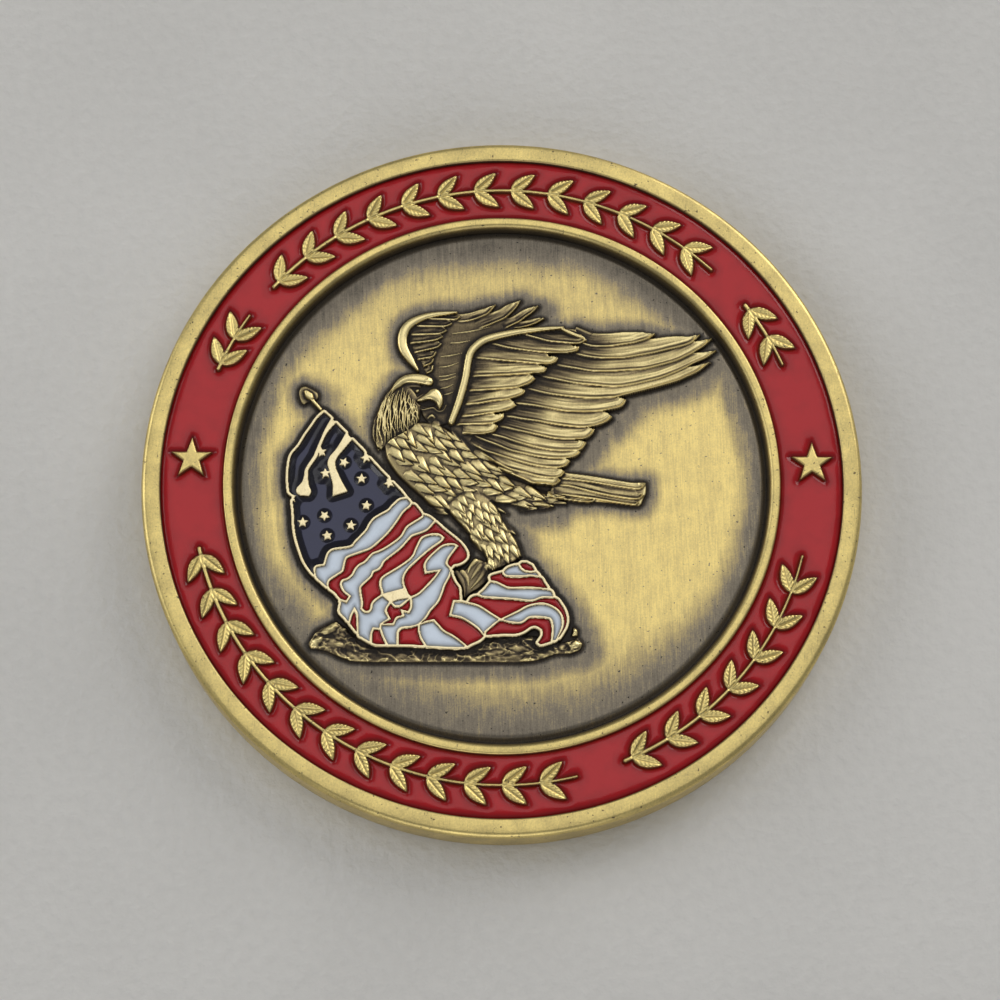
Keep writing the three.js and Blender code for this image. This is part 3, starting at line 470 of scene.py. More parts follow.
def make_front_wing():
    flight = [
        ([(-0.3, 0.75), (0.6, 0.3), (1.3, 0), (1.87, -0.27), (2.57, -0.33), (3.3, -0.38),
          (3.72, -0.05)], 0.7, False),
        ([(-1.4, 1.75), (-0.6, 1.2), (-0.1, 0.9), (0.48, 0.61), (1.35, 0.39), (2.2, 0.17), (3.1, 0.07),
          (3.65, 0.17), (3.98, 0.5)], 0.8, False),
        ([(-2.1, 2.5), (-1.3, 1.95), (-0.39, 1.61), (0.48, 1.3), (1.35, 1.04), (2.2, 0.85), (3.26, 0.74),
          (3.96, 0.83), (4.33, 1.2)], 0.85, False),
        ([(-2.2, 3.2), (-1.6, 2.75), (-0.39, 2.26), (0.48, 1.87), (1.35, 1.65), (2.2, 1.46), (3.26, 1.35),
          (4.2, 1.39), (4.74, 1.57), (4.97, 1.8)], 0.85, False),
        ([(-1.9, 3.4), (-0.9, 3), (0, 2.75), (0.48, 2.57), (1.35, 2.26), (2.2, 2.04), (3.26, 1.87),
          (4.39, 1.87), (5, 1.96), (5.33, 2.42)], 0.95, False),
        ([(-0.5, 3.5), (0, 3.43), (1, 3.17), (2.2, 2.87), (3.26, 2.65), (4.4, 2.6), (5.26, 2.68),
          (5.7, 3), (5.86, 3.32)], 1.1, False),
        ([(-0.2, 4.15), (0.5, 4.1), (1.17, 3.97), (2.17, 3.8), (2.83, 3.65), (3.96, 3.48), (5, 3.4),
          (5.87, 3.5), (6.57, 3.78), (6.95, 4.1)], 1.15, False),
        ([(0.3, 5.05), (1.03, 4.97), (1.83, 4.87), (2.5, 4.73), (3.83, 4.47), (5, 4.42), (6, 4.46),
          (6.86, 4.59), (7.57, 4.82), (7.85, 5.25)], 1.2, False),
        ([(1, 6.2), (1.7, 5.95), (3, 5.6), (4.6, 5.38), (5.8, 5.32), (6.64, 5.37), (7.2, 5.41),
          (8.3, 5.71), (9, 5.9), (10, 6.18), (11, 6.5), (11.7, 6.82), (12.43, 7.2),
          (13.2, 7.85)], 0.95, True),
        ([(2, 7), (2.67, 6.75), (3.3, 6.6), (4, 6.43), (4.7, 6.29), (5.8, 6.18), (7, 6.09), (8, 6.2),
          (9, 6.43), (10, 6.7), (11, 7.12), (11.7, 7.48), (12.2, 7.75), (12.93, 8.1),
          (13.62, 8.62)], 1.05, True),
        ([(2.9, 7.75), (3.5, 7.55), (4, 7.43), (4.71, 7.3), (5.43, 7.16), (6.14, 7.11), (7, 7.12),
          (8, 7.2), (9, 7.29), (10, 7.54), (11, 7.86), (11.7, 8.21), (12.2, 8.5), (12.8, 8.9),
          (13.34, 9.4)], 1.1, True),
        ([(4.1, 8.5), (4.82, 8.25), (5.43, 8.11), (6.14, 8.01), (7, 7.99), (7.7, 8.01), (8.64, 8.18),
          (9.57, 8.36), (10.5, 8.6), (11.4, 8.84), (12, 9.1), (12.6, 9.66)], 0.98, True),
        ([(4.3, 9.3), (5.36, 8.89), (6.14, 8.79), (6.86, 8.8), (7.57, 8.89), (8.3, 9.01), (8.9, 9.18),
          (9.3, 9.34), (9.72, 9.66)], 1.0, True),
    ]

    root_web = [(-3.3, 3.6), (-2.3, 3.9), (0, 3.2), (2.2, 0.8), (2.4, -0.3), (1, -0.15), (-1, 1), (-3, 2.8)]
    lay_pillow(root_web, above_field(0.12), 0.03, 0.3, FRONT_WING, darkening=0.06)

    for number, (line, width, pointed) in enumerate(flight):
        overlap = (0.15 if pointed else 0.35) * (number < len(flight) - 1)
        lay_feather(line, width + overlap, pointed, flight_base, 0.11, FRONT_WING, 100 + 2 * number, 0.065,
                    0.95, flight_shade)
    coverts = [
        ([(-2.5, 2.98), (-1.5, 2.9), (-0.83, 2.97), (-0.43, 3.13), (-0.2, 3.45)], 0.7),
        ([(-2.95, 3.53), (-2.03, 3.57), (-1.03, 3.57), (-0.37, 3.67), (0.1, 3.97), (0.14, 4.3)], 0.75),
        ([(-2.7, 4.07), (-1.83, 4.13), (-0.83, 4.27), (0.03, 4.4), (0.57, 4.57), (0.92, 4.8)], 0.85),
        ([(-2.5, 4.86), (-1.5, 4.93), (-0.63, 5.07), (0.23, 5.17), (0.83, 5.33), (1.3, 5.53),
          (1.5, 5.8)], 0.85),
        ([(-2.3, 5.76), (-0.83, 5.83), (0.23, 5.9), (1.03, 6), (1.7, 6.23), (2.12, 6.58)], 0.9),
        ([(-2.1, 6.73), (-0.83, 6.77), (0.23, 6.8), (1.17, 6.87), (2.17, 6.95), (2.65, 7.02),
          (2.85, 7.3)], 0.95),
        ([(-1.9, 8), (-0.83, 7.87), (0.23, 7.75), (1.17, 7.67), (2.17, 7.57), (2.9, 7.53), (3.37, 7.7),
          (3.55, 8)], 0.95),
        ([(-1, 9), (-0.37, 8.83), (0.23, 8.67), (1.17, 8.51), (2.17, 8.38), (3.17, 8.3), (4.17, 8.33),
          (4.77, 8.5), (4.9, 8.78)], 0.85),
        ([(0.8, 9.7), (1.6, 9.47), (2.17, 9.3), (2.83, 9.12), (3.83, 9.02), (4.83, 8.95),
          (5.32, 9.2)], 0.75),
    ]

    for number, (line, width) in enumerate(coverts):
        lay_feather(line, width + 0.35, False, covert_base, 0.11, FRONT_WING, 140 + 2 * number, 0.07, 0.9,
                    covert_shade, right_of_bar)
    elbow = [(3.7, 9.98), (4.5, 9.62), (5.03, 9.42), (5.28, 9.2)]
    lay_rod(elbow, [0.1, 0.14, 0.12, 0.06], FIELD_TOP + 0.34, 0.1, FRONT_WING)
    halves = [0.23, 0.26, 0.27, 0.27, 0.27, 0.27, 0.26, 0.24, 0.21, 0.17, 0.11]
    lay_rod(WING_BAR, halves, FIELD_TOP + 0.34, 0.19, FRONT_WING)


# ---------------------------------------------------------------- eagle's body, legs and head

SPINE = [(-6.9, 3.4), (-5.2, 1.9), (-3.5, 0.9), (-1.6, -0.1), (0.4, -0.7), (2, -1.1), (3.6, -1.3)]
THIGH = [(-2.7, -0.5), (-2.1, -1.5), (-1.5, -2.5), (-0.75, -3.6), (-0.1, -4.6), (0.2, -5.7)]
BODY_OUTLINE = [
    (-7.75, 2.6), (-7.5, 2.1), (-7.3, 1.3), (-6.7, 0.35), (-5.95, -0.4), (-5.1, -1.15), (-4.3, -1.85),
    (-3.4, -2.1), (-2.4, -1.9), (-1, -1.5), (0.4, -1.5), (1.4, -1.75), (2, -1.5), (3.5, -1.2),
    (2.6, -0.75), (1.75, -0.1), (0.7, 0.25), (-0.45, 0.95), (-0.95, 1.5), (-1.9, 2.1), (-2.8, 2.9),
    (-3.6, 3.55), (-4.6, 3.85), (-5.8, 3.9), (-7, 3.8),
]
LEG_OUTLINE = [
    (-3.48, -1.6), (-3.29, -2.16), (-2.84, -2.72), (-2.2, -3.37), (-2, -3.92), (-1.47, -4.38),
    (-1.11, -4.75), (-1, -5.2), (-1.05, -5.6), (-0.6, -6), (0.24, -5.66), (0.96, -5.29), (1.4, -4.91),
    (1.13, -4.08), (0.68, -3.34), (0.22, -2.6), (-0.14, -1.86), (-0.6, -1.3), (-1.14, -0.84),
    (-1.7, -0.65), (-2.32, -0.66), (-2.95, -0.94),
]


def scales_along(spine, outline, spacing, rows, size, fan, who, base, lift, seed, overhang):
    """Overlapping pointed feathers in staggered rows along a spine, from its far end to its near end.
    Their roots lie inside the outline, or outside it by no more than the overhang."""
    random = np.random.default_rng(seed)
    line = smooth_line(spine, 12)
    lengths = np.concatenate([[0], np.cumsum(np.hypot(*np.diff(line, axis=0).T))])
    count = int(lengths[-1] / spacing)
    for step in range(count, -1, -1):
        place = lengths[-1] * step / count
        x, y = (np.interp(place, lengths, line[:, axis]) for axis in (0, 1))
        ahead = [np.interp(min(place + 0.3, lengths[-1]), lengths, line[:, axis]) for axis in (0, 1)]
        behind = [np.interp(max(place - 0.3, 0), lengths, line[:, axis]) for axis in (0, 1)]
        heading = math.atan2(ahead[1] - behind[1], ahead[0] - behind[0])
        for row in range(-rows, rows + 1):
            aside = (row + (step % 2) / 2) * size[1] * 0.9 + random.normal(0, 0.05)
            shift = random.normal(0, 0.1)
            px = x - math.sin(heading) * aside + math.cos(heading) * shift
            py = y + math.cos(heading) * aside + math.sin(heading) * shift
            if depth_inside([np.array(outline)], np.array([[px]]), np.array([[py]]))[0, 0] < -overhang:
                continue
            direction = heading + fan * aside + random.normal(0, 0.18)
            length = size[0] * random.uniform(0.8, 1.2)
            width = size[1] * random.uniform(0.85, 1.2)
            lay_scale(px, py, direction, length, width, base, lift * random.uniform(0.75, 1.1), who)


def make_talons():
    foot = [(-2.89, -5.87), (-2.35, -5.8), (-2, -5.4), (-1.5, -5), (-0.9, -5.2), (-0.75, -5.86),
            (-0.8, -6.41), (-1.36, -6.97), (-1.8, -7.25), (-2.25, -7.7), (-2.43, -6.98), (-2.7, -6.52)]
    lay_pillow(foot, above_field(0.1), 0.06, 0.4, TALONS, darkening=0.0)
    toes = [
        [(-2.78, -5.95), (-2.5, -6.33), (-2.28, -6.95), (-2.26, -7.6)],
        [(-1.01, -5.4), (-1.05, -5.86), (-1.4, -6.42), (-1.9, -7)],
        [(-2.42, -5.9), (-2.1, -6.33), (-2, -6.8)],
        [(-1.28, -5.5), (-1.6, -5.96), (-1.86, -6.4)],
        [(-1.6, -5.2), (-1.92, -5.59), (-2.06, -6)],
    ]
    for toe in toes:
        lay_rod(toe, [0.19, 0.17, 0.12, 0.04], above_field(0.12), 0.1, TALONS, 0.04, darkening=0.16)


def make_body():
    lay_pillow(BODY_OUTLINE, above_field(0.1), 0.2, 1.6, BODY, wall=0.25, darkening=0.1)
    dome = height.copy()
    scales_along(SPINE, BODY_OUTLINE, 0.74, 7, (1.35, 0.76), -0.05, BODY, dome, 0.25, 7, 0.05)
    lay_pillow(LEG_OUTLINE, above_field(0.14), 0.2, 0.9, BODY, wall=0.22, darkening=0.1)
    dome = height.copy()
    scales_along(THIGH, LEG_OUTLINE, 0.52, 7, (0.98, 0.55), 0.05, BODY, dome, 0.21, 8, -0.08)


def make_head():
    neck = [(-7.95, 2.6), (-7.95, 3.4), (-7.9, 4.2), (-7.65, 5), (-7.3, 5.7), (-6.7, 6.3), (-5.9, 6.5),
            (-5.2, 6.3), (-4.9, 5.6), (-5.1, 4.9), (-5.15, 4.2), (-5.25, 3.75), (-6, 3.1), (-6.9, 2.6),
            (-7.55, 1.9), (-7.9, 2.1)]
    lay_pillow(neck, above_field(0.15), 0.12, 0.8, HEAD, darkening=0.3)
    dome = height.copy()

    def neck_top(x, y):
        columns = np.rint(x / STEP).astype(int) + HALF_CELLS
        rows = np.rint(y / STEP).astype(int) + HALF_CELLS
        return dome[rows, columns]

    random = np.random.default_rng(5)
    roots = np.array([(-7.45, 5.3), (-7.15, 5.75), (-6.8, 6), (-6.4, 6.05), (-6, 5.9), (-5.75, 5.45),
                      (-5.5, 4.95)])
    ends = np.array([(-7.82, 1.95), (-7.5, 2.25), (-7.05, 2.6), (-6.5, 2.85), (-6, 3.1), (-5.6, 3.4),
                     (-5.15, 3.75)])
    strands = 25
    for strand in range(strands):
        t = strand / (strands - 1) * (len(roots) - 1)
        root = np.array([np.interp(t, range(len(roots)), roots[:, axis]) for axis in (0, 1)])
        end = np.array([np.interp(t, range(len(ends)), ends[:, axis]) for axis in (0, 1)])
        start, stop = random.uniform(0, 0.18), random.uniform(0.84, 1.06)
        bow = -0.42 * (1 - t / (len(roots) - 1)) ** 1.5
        line = []
        for s in np.linspace(start, stop, 8):
            middle = root + (end - root) * s
            line.append((middle[0] + bow * math.sin(math.pi * s) + random.normal(0, 0.045), middle[1]))
        thick = 0.062 - 0.012 * t / (len(roots) - 1)
        lay_rod(line, [0.03, thick, thick * 1.1, thick, 0.025], neck_top, 0.11, HEAD, 0.03)
    socket = [(-5.98, 6.05), (-5.67, 6.12), (-5.21, 6.12), (-4.6, 6.02), (-4.8, 5.74), (-5.12, 5.51),
              (-5.39, 5.33), (-5.55, 5.61), (-5.78, 5.89)]
    lay_pillow(socket, above_field(0.12), 0.0, 0.3, HEAD, wall=0.12, darkening=0.2)
    mouth = [(-5.5, 5.2), (-5.42, 5.05), (-5.19, 4.84), (-4.8, 4.73), (-4.42, 4.77), (-4.1, 4.9),
             (-4.3, 5.3), (-5, 5.3)]
    lay_pillow(mouth, above_field(0.06), 0, 0.2, HEAD, darkening=0.3)
    throat = [(-5.25, 4.72), (-5, 4.6), (-4.65, 4.68), (-4.34, 4.72), (-4.03, 4.5), (-3.72, 4.57),
              (-3.55, 4.9)]
    lay_rod(throat, [0.03, 0.05, 0.04], above_field(0.12), 0.06, HEAD, 0.04, darkening=0.1)
    tuft = [(-4.66, 4.05), (-4.45, 4.22), (-4.26, 4.08)]
    lay_rod(tuft, [0.05, 0.09, 0.05], above_field(0.12), 0.1, HEAD, 0.04)
    crown = [(-7.1, 5.8), (-6.8, 6.38), (-6.38, 6.76), (-5.92, 6.93), (-5.38, 6.97), (-4.83, 6.87),
             (-4.44, 6.67), (-4.31, 6.43), (-4.38, 6.2), (-4.6, 6.1), (-4.98, 6.15), (-5.44, 6.24),
             (-5.91, 6.26), (-6.2, 6.17), (-6.4, 6.02), (-6.66, 5.86), (-6.95, 5.6)]
    lay_pillow(crown, above_field(0.22), 0.24, 0.36, HEAD)
    brow = [(-5, 6.5), (-4.7, 6.6), (-4.48, 6.45), (-4.55, 6.28), (-4.85, 6.27)]
    lay_pillow(brow, above_field(0.43), 0.05, 0.12, HEAD)
    beak = [(-5.45, 5.17), (-5.05, 5.47), (-4.74, 5.72), (-4.47, 5.95), (-4.2, 6), (-3.95, 5.84),
            (-3.76, 5.54), (-3.68, 5.22), (-3.73, 4.88), (-3.88, 4.6), (-3.99, 4.58), (-4.11, 4.77),
            (-4.23, 5), (-4.45, 5.14), (-4.73, 5.17), (-5.04, 5.07), (-5.38, 5.06)]
    lay_pillow(beak, above_field(0.18), 0.28, 0.34, HEAD, wall=0.07)
    cere = [(-4.5, 5.86), (-4.62, 5.66), (-4.66, 5.5)]
    lay_rod(cere, [0.03, 0.04, 0.02], above_field(0.4), 0.0, HEAD, 0.04, darkening=0.2)
    eye = [(-5.38, 5.79), (-5.34, 5.81)]
    lay_rod(eye, [0.12], above_field(0.15), 0.15, HEAD, 0.05)


# ---------------------------------------------------------------- rock

def make_rock():
    ground = [(-11.9, -10.55), (-11.45, -9.8), (-10.9, -9.42), (-10.15, -9.05), (-9.5, -9.5),
              (-8.6, -10.1), (-4, -10.5), (-1, -10.1), (2, -9.9), (3.4, -10.3), (4.2, -10.2),
              (4.75, -9.95), (5.08, -10.4), (4.9, -10.8), (4.3, -11.05), (3.4, -11.1), (2.4, -11.45),
              (1, -11.62), (-4, -11.65), (-8.5, -11.68), (-9.6, -11.5), (-10.8, -11), (-11.7, -10.9)]

    def lumpy(x, y):
        folds = 1 - np.abs(rough_noise(x + 0.5 * y, y * 1.6, 0.8, 21, 2))
        ridges = 1 - np.abs(rough_noise(x, y * 1.3, 0.42, 24, 2))
        return FIELD_TOP + 0.05 + 0.09 * folds**3 + 0.06 * ridges**4

    lay_pillow(ground, lumpy, 0.08, 0.3, ROCK, darkening=0.26)
    boulders = [
        ([(-11.8, -10.75), (-11.62, -10.3), (-11.25, -9.95), (-10.9, -10.05), (-10.95, -10.45),
          (-11.3, -10.85)], 0.22),
        ([(-11.2, -9.85), (-10.8, -9.45), (-10.15, -9.08), (-9.85, -9.45), (-10.25, -9.8),
          (-10.8, -10)], 0.16),
        ([(-10.9, -10.45), (-10.3, -10.15), (-9.7, -10.35), (-9.55, -10.75), (-10.3, -10.85)], 0.12),
        ([(-10.2, -9.95), (-9.7, -9.7), (-9.35, -10), (-9.6, -10.25)], 0.1),
        ([(-9.6, -10.9), (-8.9, -11), (-8.2, -11.25), (-8.6, -11.55), (-9.5, -11.35)], 0.1),
        ([(-6.6, -11.2), (-6.1, -11), (-5.6, -11.2), (-5.9, -11.5), (-6.5, -11.5)], 0.1),
        ([(-3.6, -11.25), (-3.2, -11.05), (-2.7, -11.2), (-2.9, -11.55), (-3.5, -11.5)], 0.1),
        ([(-1.1, -11), (-0.3, -10.7), (0.3, -10.85), (0.1, -11.15), (-0.7, -11.3)], 0.13),
        ([(0.2, -10.75), (0.9, -10.45), (1.6, -10.6), (1.9, -10.95), (1.2, -11), (0.7, -10.95)], 0.12),
        ([(-0.6, -11.35), (0.4, -11.1), (1.6, -11.15), (1.2, -11.5), (0, -11.55)], 0.1),
        ([(4.15, -10.5), (4.6, -10.12), (5, -10.35), (4.8, -10.7), (4.3, -10.85)], 0.2),
        ([(4.3, -10), (4.45, -9.3), (4.75, -9.5), (4.8, -9.95)], 0.18),
        ([(2, -10.95), (2.8, -10.75), (3.4, -10.9), (3.2, -11.1), (2.4, -11.3)], 0.09),
        ([(3.4, -10.5), (3.9, -10.3), (4.2, -10.55), (3.9, -10.85), (3.5, -10.8)], 0.1),
    ]
    for number, (outline, crown) in enumerate(boulders):
        def chipped(x, y, seed=30 + number):
            return FIELD_TOP + 0.09 + 0.045 * rough_noise(x + y * 0.5, y * 1.4, 0.4, seed, 2)
        lay_pillow(outline, chipped, crown, 0.38, ROCK, darkening=0.12)


# ---------------------------------------------------------------- flag: metal lines and its enamel cells

RED_CELLS = [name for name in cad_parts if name.startswith("red_") and name != "red_ring_enamel"]
WHITE_CELLS = [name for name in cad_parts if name.startswith("white_")]
NAVY_CELLS = ["navy_canton"]


def top_outlines(node):
    """The outlines of a CAD node's top face, in millimetres, worked out from its mesh."""
    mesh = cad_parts[node].data
    points = np.array([v.co for v in mesh.vertices]) / MM
    top = points[:, 2].max()
    mesh.calc_loop_triangles()
    edges = {}
    for triangle in mesh.loop_triangles:
        corners = [tuple(np.round(points[i], 3)) for i in triangle.vertices]
        if all(abs(corner[2] - top) < 0.002 for corner in corners):
            for a, b in zip(corners, corners[1:] + corners[:1]):
                if (b[:2], a[:2]) in edges:
                    del edges[(b[:2], a[:2])]
                else:
                    edges[(a[:2], b[:2])] = True
    onward = {}
    for a, b in edges:
        onward.setdefault(a, []).append(b)
    loops = []
    while onward:
        start = min(onward)
        loop, here = [], start
        while here in onward:
            following = onward[here].pop()
            if not onward[here]:
                del onward[here]
            loop.append(here)
            here = following
        loops.append(np.array(loop))
    return loops


cell_depth = {}               # by node: its window of the map, and the depth inside the cell there
cell_loops = {}               # by node: its outlines, the widest first
# Flag metal between and beside the cells, wider than their common border.
CANTON_SIDE = [(-11.2, 4.4), (-8.93, 2.13), (-5.9, -1.2), (-8, -2), (-12.9, -1.3), (-13.1, 0.8), (-12, 3)]
GOLD_PATCH = [(-7.33, -7.44), (-6.64, -7.25), (-5.92, -7.05), (-5.76, -7.4), (-5.56, -7.62),
              (-6.36, -7.68), (-6.82, -7.9), (-7.07, -7.7)]


def make_flag():
    flag_points = [(x, y) for name in NAVY_CELLS + RED_CELLS + WHITE_CELLS for x, y in top_outlines(name)[0]]
    where = window(flag_points, 0.6)
    x, y = grid_x[where], grid_y[where]
    outside = np.full(x.shape, 9.0)          # distance outside the nearest cell
    ground = np.zeros(x.shape, bool)
    for name in NAVY_CELLS + RED_CELLS + WHITE_CELLS:
        loops = [smooth_loop(loop) if len(loop) > 10 else loop for loop in top_outlines(name)]
        near = window(np.vstack(loops), 0.45)
        depth = depth_inside(loops, grid_x[near], grid_y[near])
        cell_depth[name] = (near, depth)
        cell_loops[name] = sorted(loops, key=lambda loop: -np.ptp(loop[:, 0]))
        rows = slice(near[0].start - where[0].start, near[0].stop - where[0].start)
        columns = slice(near[1].start - where[1].start, near[1].stop - where[1].start)
        outside[rows, columns] = np.minimum(outside[rows, columns], -depth)
        ground[rows, columns] |= depth_inside(cell_loops[name][:1], grid_x[near], grid_y[near]) > 0
    patch = depth_inside([smooth_loop(GOLD_PATCH)], x, y)
    ground |= depth_inside([np.array(CANTON_SIDE)], x, y) > 0
    ground |= patch > 0
    border = 0.25
    inside = np.where(ground, 1.0, border - outside)
    ripple = 0.006 * rough_noise(x, y, 0.3, 61)
    shoulder = step_up(outside, -0.02, 0.045)
    rounding = np.where(ground, 0, 0.04 * step_up(outside, 0.12, border))
    surface = FLAG_FLOOR + (FLAG_TOP + ripple - rounding - FLAG_FLOOR) * shoulder
    lay(where, surface, inside, FLAG, 0.09)


def make_staff():
    knob = [(-12.88, 5.64), (-12.78, 5.99), (-12.5, 6.14), (-12.22, 6.05), (-11.85, 5.85), (-11.62, 5.65),
            (-11.55, 5.35), (-11.72, 5.09), (-11.94, 4.97), (-12.22, 4.97), (-12.47, 4.85), (-12.67, 4.96),
            (-12.81, 5.28)]
    lay_pillow(knob, above_field(0.07), 0.1, 0.3, STAFF, darkening=0.18)
    core = [(-12.56, 5.79), (-12.34, 5.83), (-12.08, 5.68), (-11.91, 5.54), (-11.82, 5.3), (-11.81, 5.1),
            (-11.98, 5.01), (-12.21, 5.12), (-12.41, 5.27), (-12.49, 5.47)]
    lay_pillow(core, above_field(0.22), 0.24, 0.2, STAFF, darkening=-0.15)
    neck = [(-11.92, 5.07), (-11.67, 4.8), (-11.41, 4.51)]
    lay_rod(neck, [0.14, 0.13, 0.13], FIELD_TOP + 0.26, 0.13, STAFF)


# ---------------------------------------------------------------- border ring ornament

LEAF_LENGTH = 2.0
LEAF_WIDTH = 0.86
LEAF_SPREAD = math.radians(37)
PAIR_STEP = 6.9
STEM_HALF = 0.12
SPRIGS_AROUND = [(157.5, 146.5), (138, 46.5), (36, 23.5), (195, 284), (294.5, 345.5)]   # degrees
STAR_PLACES = [(-19.4, 1.2), (19.4, 1.2)]
STAR_OUTER, STAR_INNER = 1.45, 0.58

metal_distance = np.minimum(RING_OUTER - radius, radius - RING_INNER)    # from the ring's enamel to metal


def note_metal(where, inside):
    metal_distance[where] = np.minimum(metal_distance[where], -inside)


def lay_leaf(x, y, direction):
    """A flat-topped laurel leaf with a sunk midrib and side veins."""
    loop = leaf_loop(x, y, direction, LEAF_LENGTH, LEAF_WIDTH)
    where = window(loop, 0.75)
    px, py = grid_x[where], grid_y[where]
    inside = depth_inside([loop], px, py)
    along, aside = turned(px - x, py - y, direction)
    midrib = 0.075 * np.exp(-((aside / 0.06) ** 2)) * step_up(along, 0.1, 0.4)
    waves = np.cos((along - np.abs(aside) * 0.9) * 2 * math.pi / 0.27)
    veins = 0.016 * waves * step_up(np.abs(aside), 0.05, 0.15)
    rounding = 0.05 * (1 - step_up(inside, 0.02, 0.16))
    surface = RIM_TOP - 0.012 - rounding - midrib + veins
    lay(where, np.minimum(surface, HIGHEST), inside + 0.03, SPRIGS, 0.08)
    note_metal(where, inside)


def make_sprig(start, end):
    sense = 1 if end > start else -1
    span = abs(end - start)
    pairs = round(span / PAIR_STEP)
    places = np.linspace(-0.5 / pairs / 3, 1, max(pairs * 2, 6))      # from just before the first pair
    line = smooth_line([polar(RING_MIDDLE, start + sense * span * t) for t in places], 4)
    where = window(line, 0.75)
    x, y = grid_x[where], grid_y[where]
    along, aside = nearest(line, x, y)
    half = STEM_HALF * (1.25 - 0.4 * along)
    surface = RIM_TOP - 0.1 + 0.09 * np.sqrt(np.clip(1 - (aside / half) ** 2, 0, 1))
    lay(where, surface, half - np.abs(aside) + 0.02, SPRIGS, 0.06)
    note_metal(where, half - np.abs(aside))
    for pair in range(pairs):
        degrees = start + sense * span * pair / pairs
        x, y = polar(RING_MIDDLE, degrees)
        growth = math.radians(degrees + sense * 90)
        for side in (1, -1):
            lay_leaf(x, y, growth + side * LEAF_SPREAD)


def make_ring_star(x, y):
    loop = star_loop(x, y, STAR_OUTER, STAR_INNER)
    where = window(loop, 0.75)
    inside = depth_inside([loop], grid_x[where], grid_y[where])
    rounding = 0.05 * (1 - step_up(inside, 0.02, 0.16))
    lay(where, RIM_TOP - 0.012 - rounding, inside + 0.03, STARS, 0.08)
    note_metal(where, inside)


# ---------------------------------------------------------------- build the map

RING_EDGE = BEAD_FOOT + 0.2       # under the bead, which hides where the ring's map meets the field's
height[radius > RING_EDGE] = RING_FLOOR - 0.05
make_back_wing()
make_tail()
make_front_wing()
make_rock()
make_talons()
make_body()
make_head()
make_flag()
make_staff()
for sprig in SPRIGS_AROUND:
    make_sprig(*sprig)
for place in STAR_PLACES:
    make_ring_star(*place)

edge_fall = (FIELD_TOP - GROOVE_FLOOR) * step_up(radius, FIELD_RADIUS - 0.12, BEAD_FOOT + 0.04) ** 1.4
in_field_disc = radius < RING_EDGE
height = np.where(in_field_disc, height - np.where(owner == FIELD, edge_fall, 0.6 * edge_fall), height)
owner = np.where(in_field_disc & (owner == FIELD) & (radius > FIELD_RADIUS - 0.3), GROOVE, owner)
height = np.minimum(height, HIGHEST)

# ---------------------------------------------------------------- wear and painted shadow
# How far the black oxide is rubbed off: 0 in black recesses, 1 on polished high points; painted shadows beside
# the bird, beside the flag and to the lower right of the relief darken it further.

relief = (owner > FIELD) & (owner < GROOVE)
narrow = height - blurred(height, 0.16)      # how proud a point stands of what is close around it
streaks = (lattice_noise(grid_x + 0.11 * grid_y, grid_y, 0.16, 2.6, 81)
           + 0.6 * lattice_noise(grid_x + 0.09 * grid_y, grid_y, 0.07, 1.6, 82))


def field_wear():
    """Brushed bright in the open, and dark beside the relief and around the field's edge: patina, with painted
    shade at the foot of the relief and a painted shadow of the relief cast to its lower right.
    """
    halo = 2.6
    from_relief = distance_from(relief, halo)
    # painted shadow: the relief's outline moved to the lower right darkens the field there, as a cast shadow
    to_lower_right = (int(-0.4 / STEP), int(0.5 / STEP))      # the halo is wider on this side
    from_shadow = distance_from(np.roll(relief & (owner != TAIL), to_lower_right, (0, 1)), halo)
    edge_gap = FIELD_RADIUS - radius
    upright = grid_y / np.maximum(radius, 1)
    band = 1.2 + 0.6 * np.clip(upright, 0, 1) ** 2 + 2.0 * np.clip(-upright, 0, 1) ** 2
    clouds = rough_noise(grid_x, grid_y * 0.5, 2.4, 83)
    in_the_open = np.minimum.reduce([
        step_up((edge_gap + 0.05 * streaks + 0.25 * clouds) / band, 0.05, 1.5),
        step_up(from_relief + 0.03 * streaks + 0.07 * clouds, 0.1, 1.25),
        step_up(from_shadow + 0.04 * streaks + 0.09 * clouds, 0.05, 1.6),
    ])
    worn_and_shaded = 0.47 + 0.45 * in_the_open + 0.035 * streaks - 0.1 * step_up(grid_y, 6, 13)
    worn_and_shaded *= 0.1 + 0.9 * step_up(from_relief, 0.06, 0.34)
    in_groove = (0.56 + 0.04 * streaks) * (0.15 + 0.85 * step_up(BEAD_FOOT - radius, 0.02, 0.16))
    return np.minimum(worn_and_shaded, in_groove + step_up(edge_gap, 0.0, 0.3))


def relief_wear():
    """Bright where a point stands high or proud, dark in hollows, and darkened by a painted shadow beside the
    bird's body.
    """
    bird = (owner == BODY) | (owner == HEAD)
    broad = height - blurred(height, 0.5)
    lifted = (height - FIELD_TOP) / (RIM_TOP - FIELD_TOP)
    hollows = 1.4 * np.minimum(broad + 0.02, 0) + 3 * np.minimum(narrow + 0.01, 0)
    # painted shadow on the relief next to the bird's body
    bird_painted_shadow = 0.3 * (1 - step_up(distance_from(bird, 0.4), 0.04, 0.34))
    bird_painted_shadow *= ~bird & (owner != FLAG)
    worn_and_shaded = 0.24 + 0.88 * lifted + 2.4 * broad + 5.4 * narrow + hollows - tarnish_and_shade - bird_painted_shadow
    return 0.54 + 1.18 * (worn_and_shaded - 0.5)


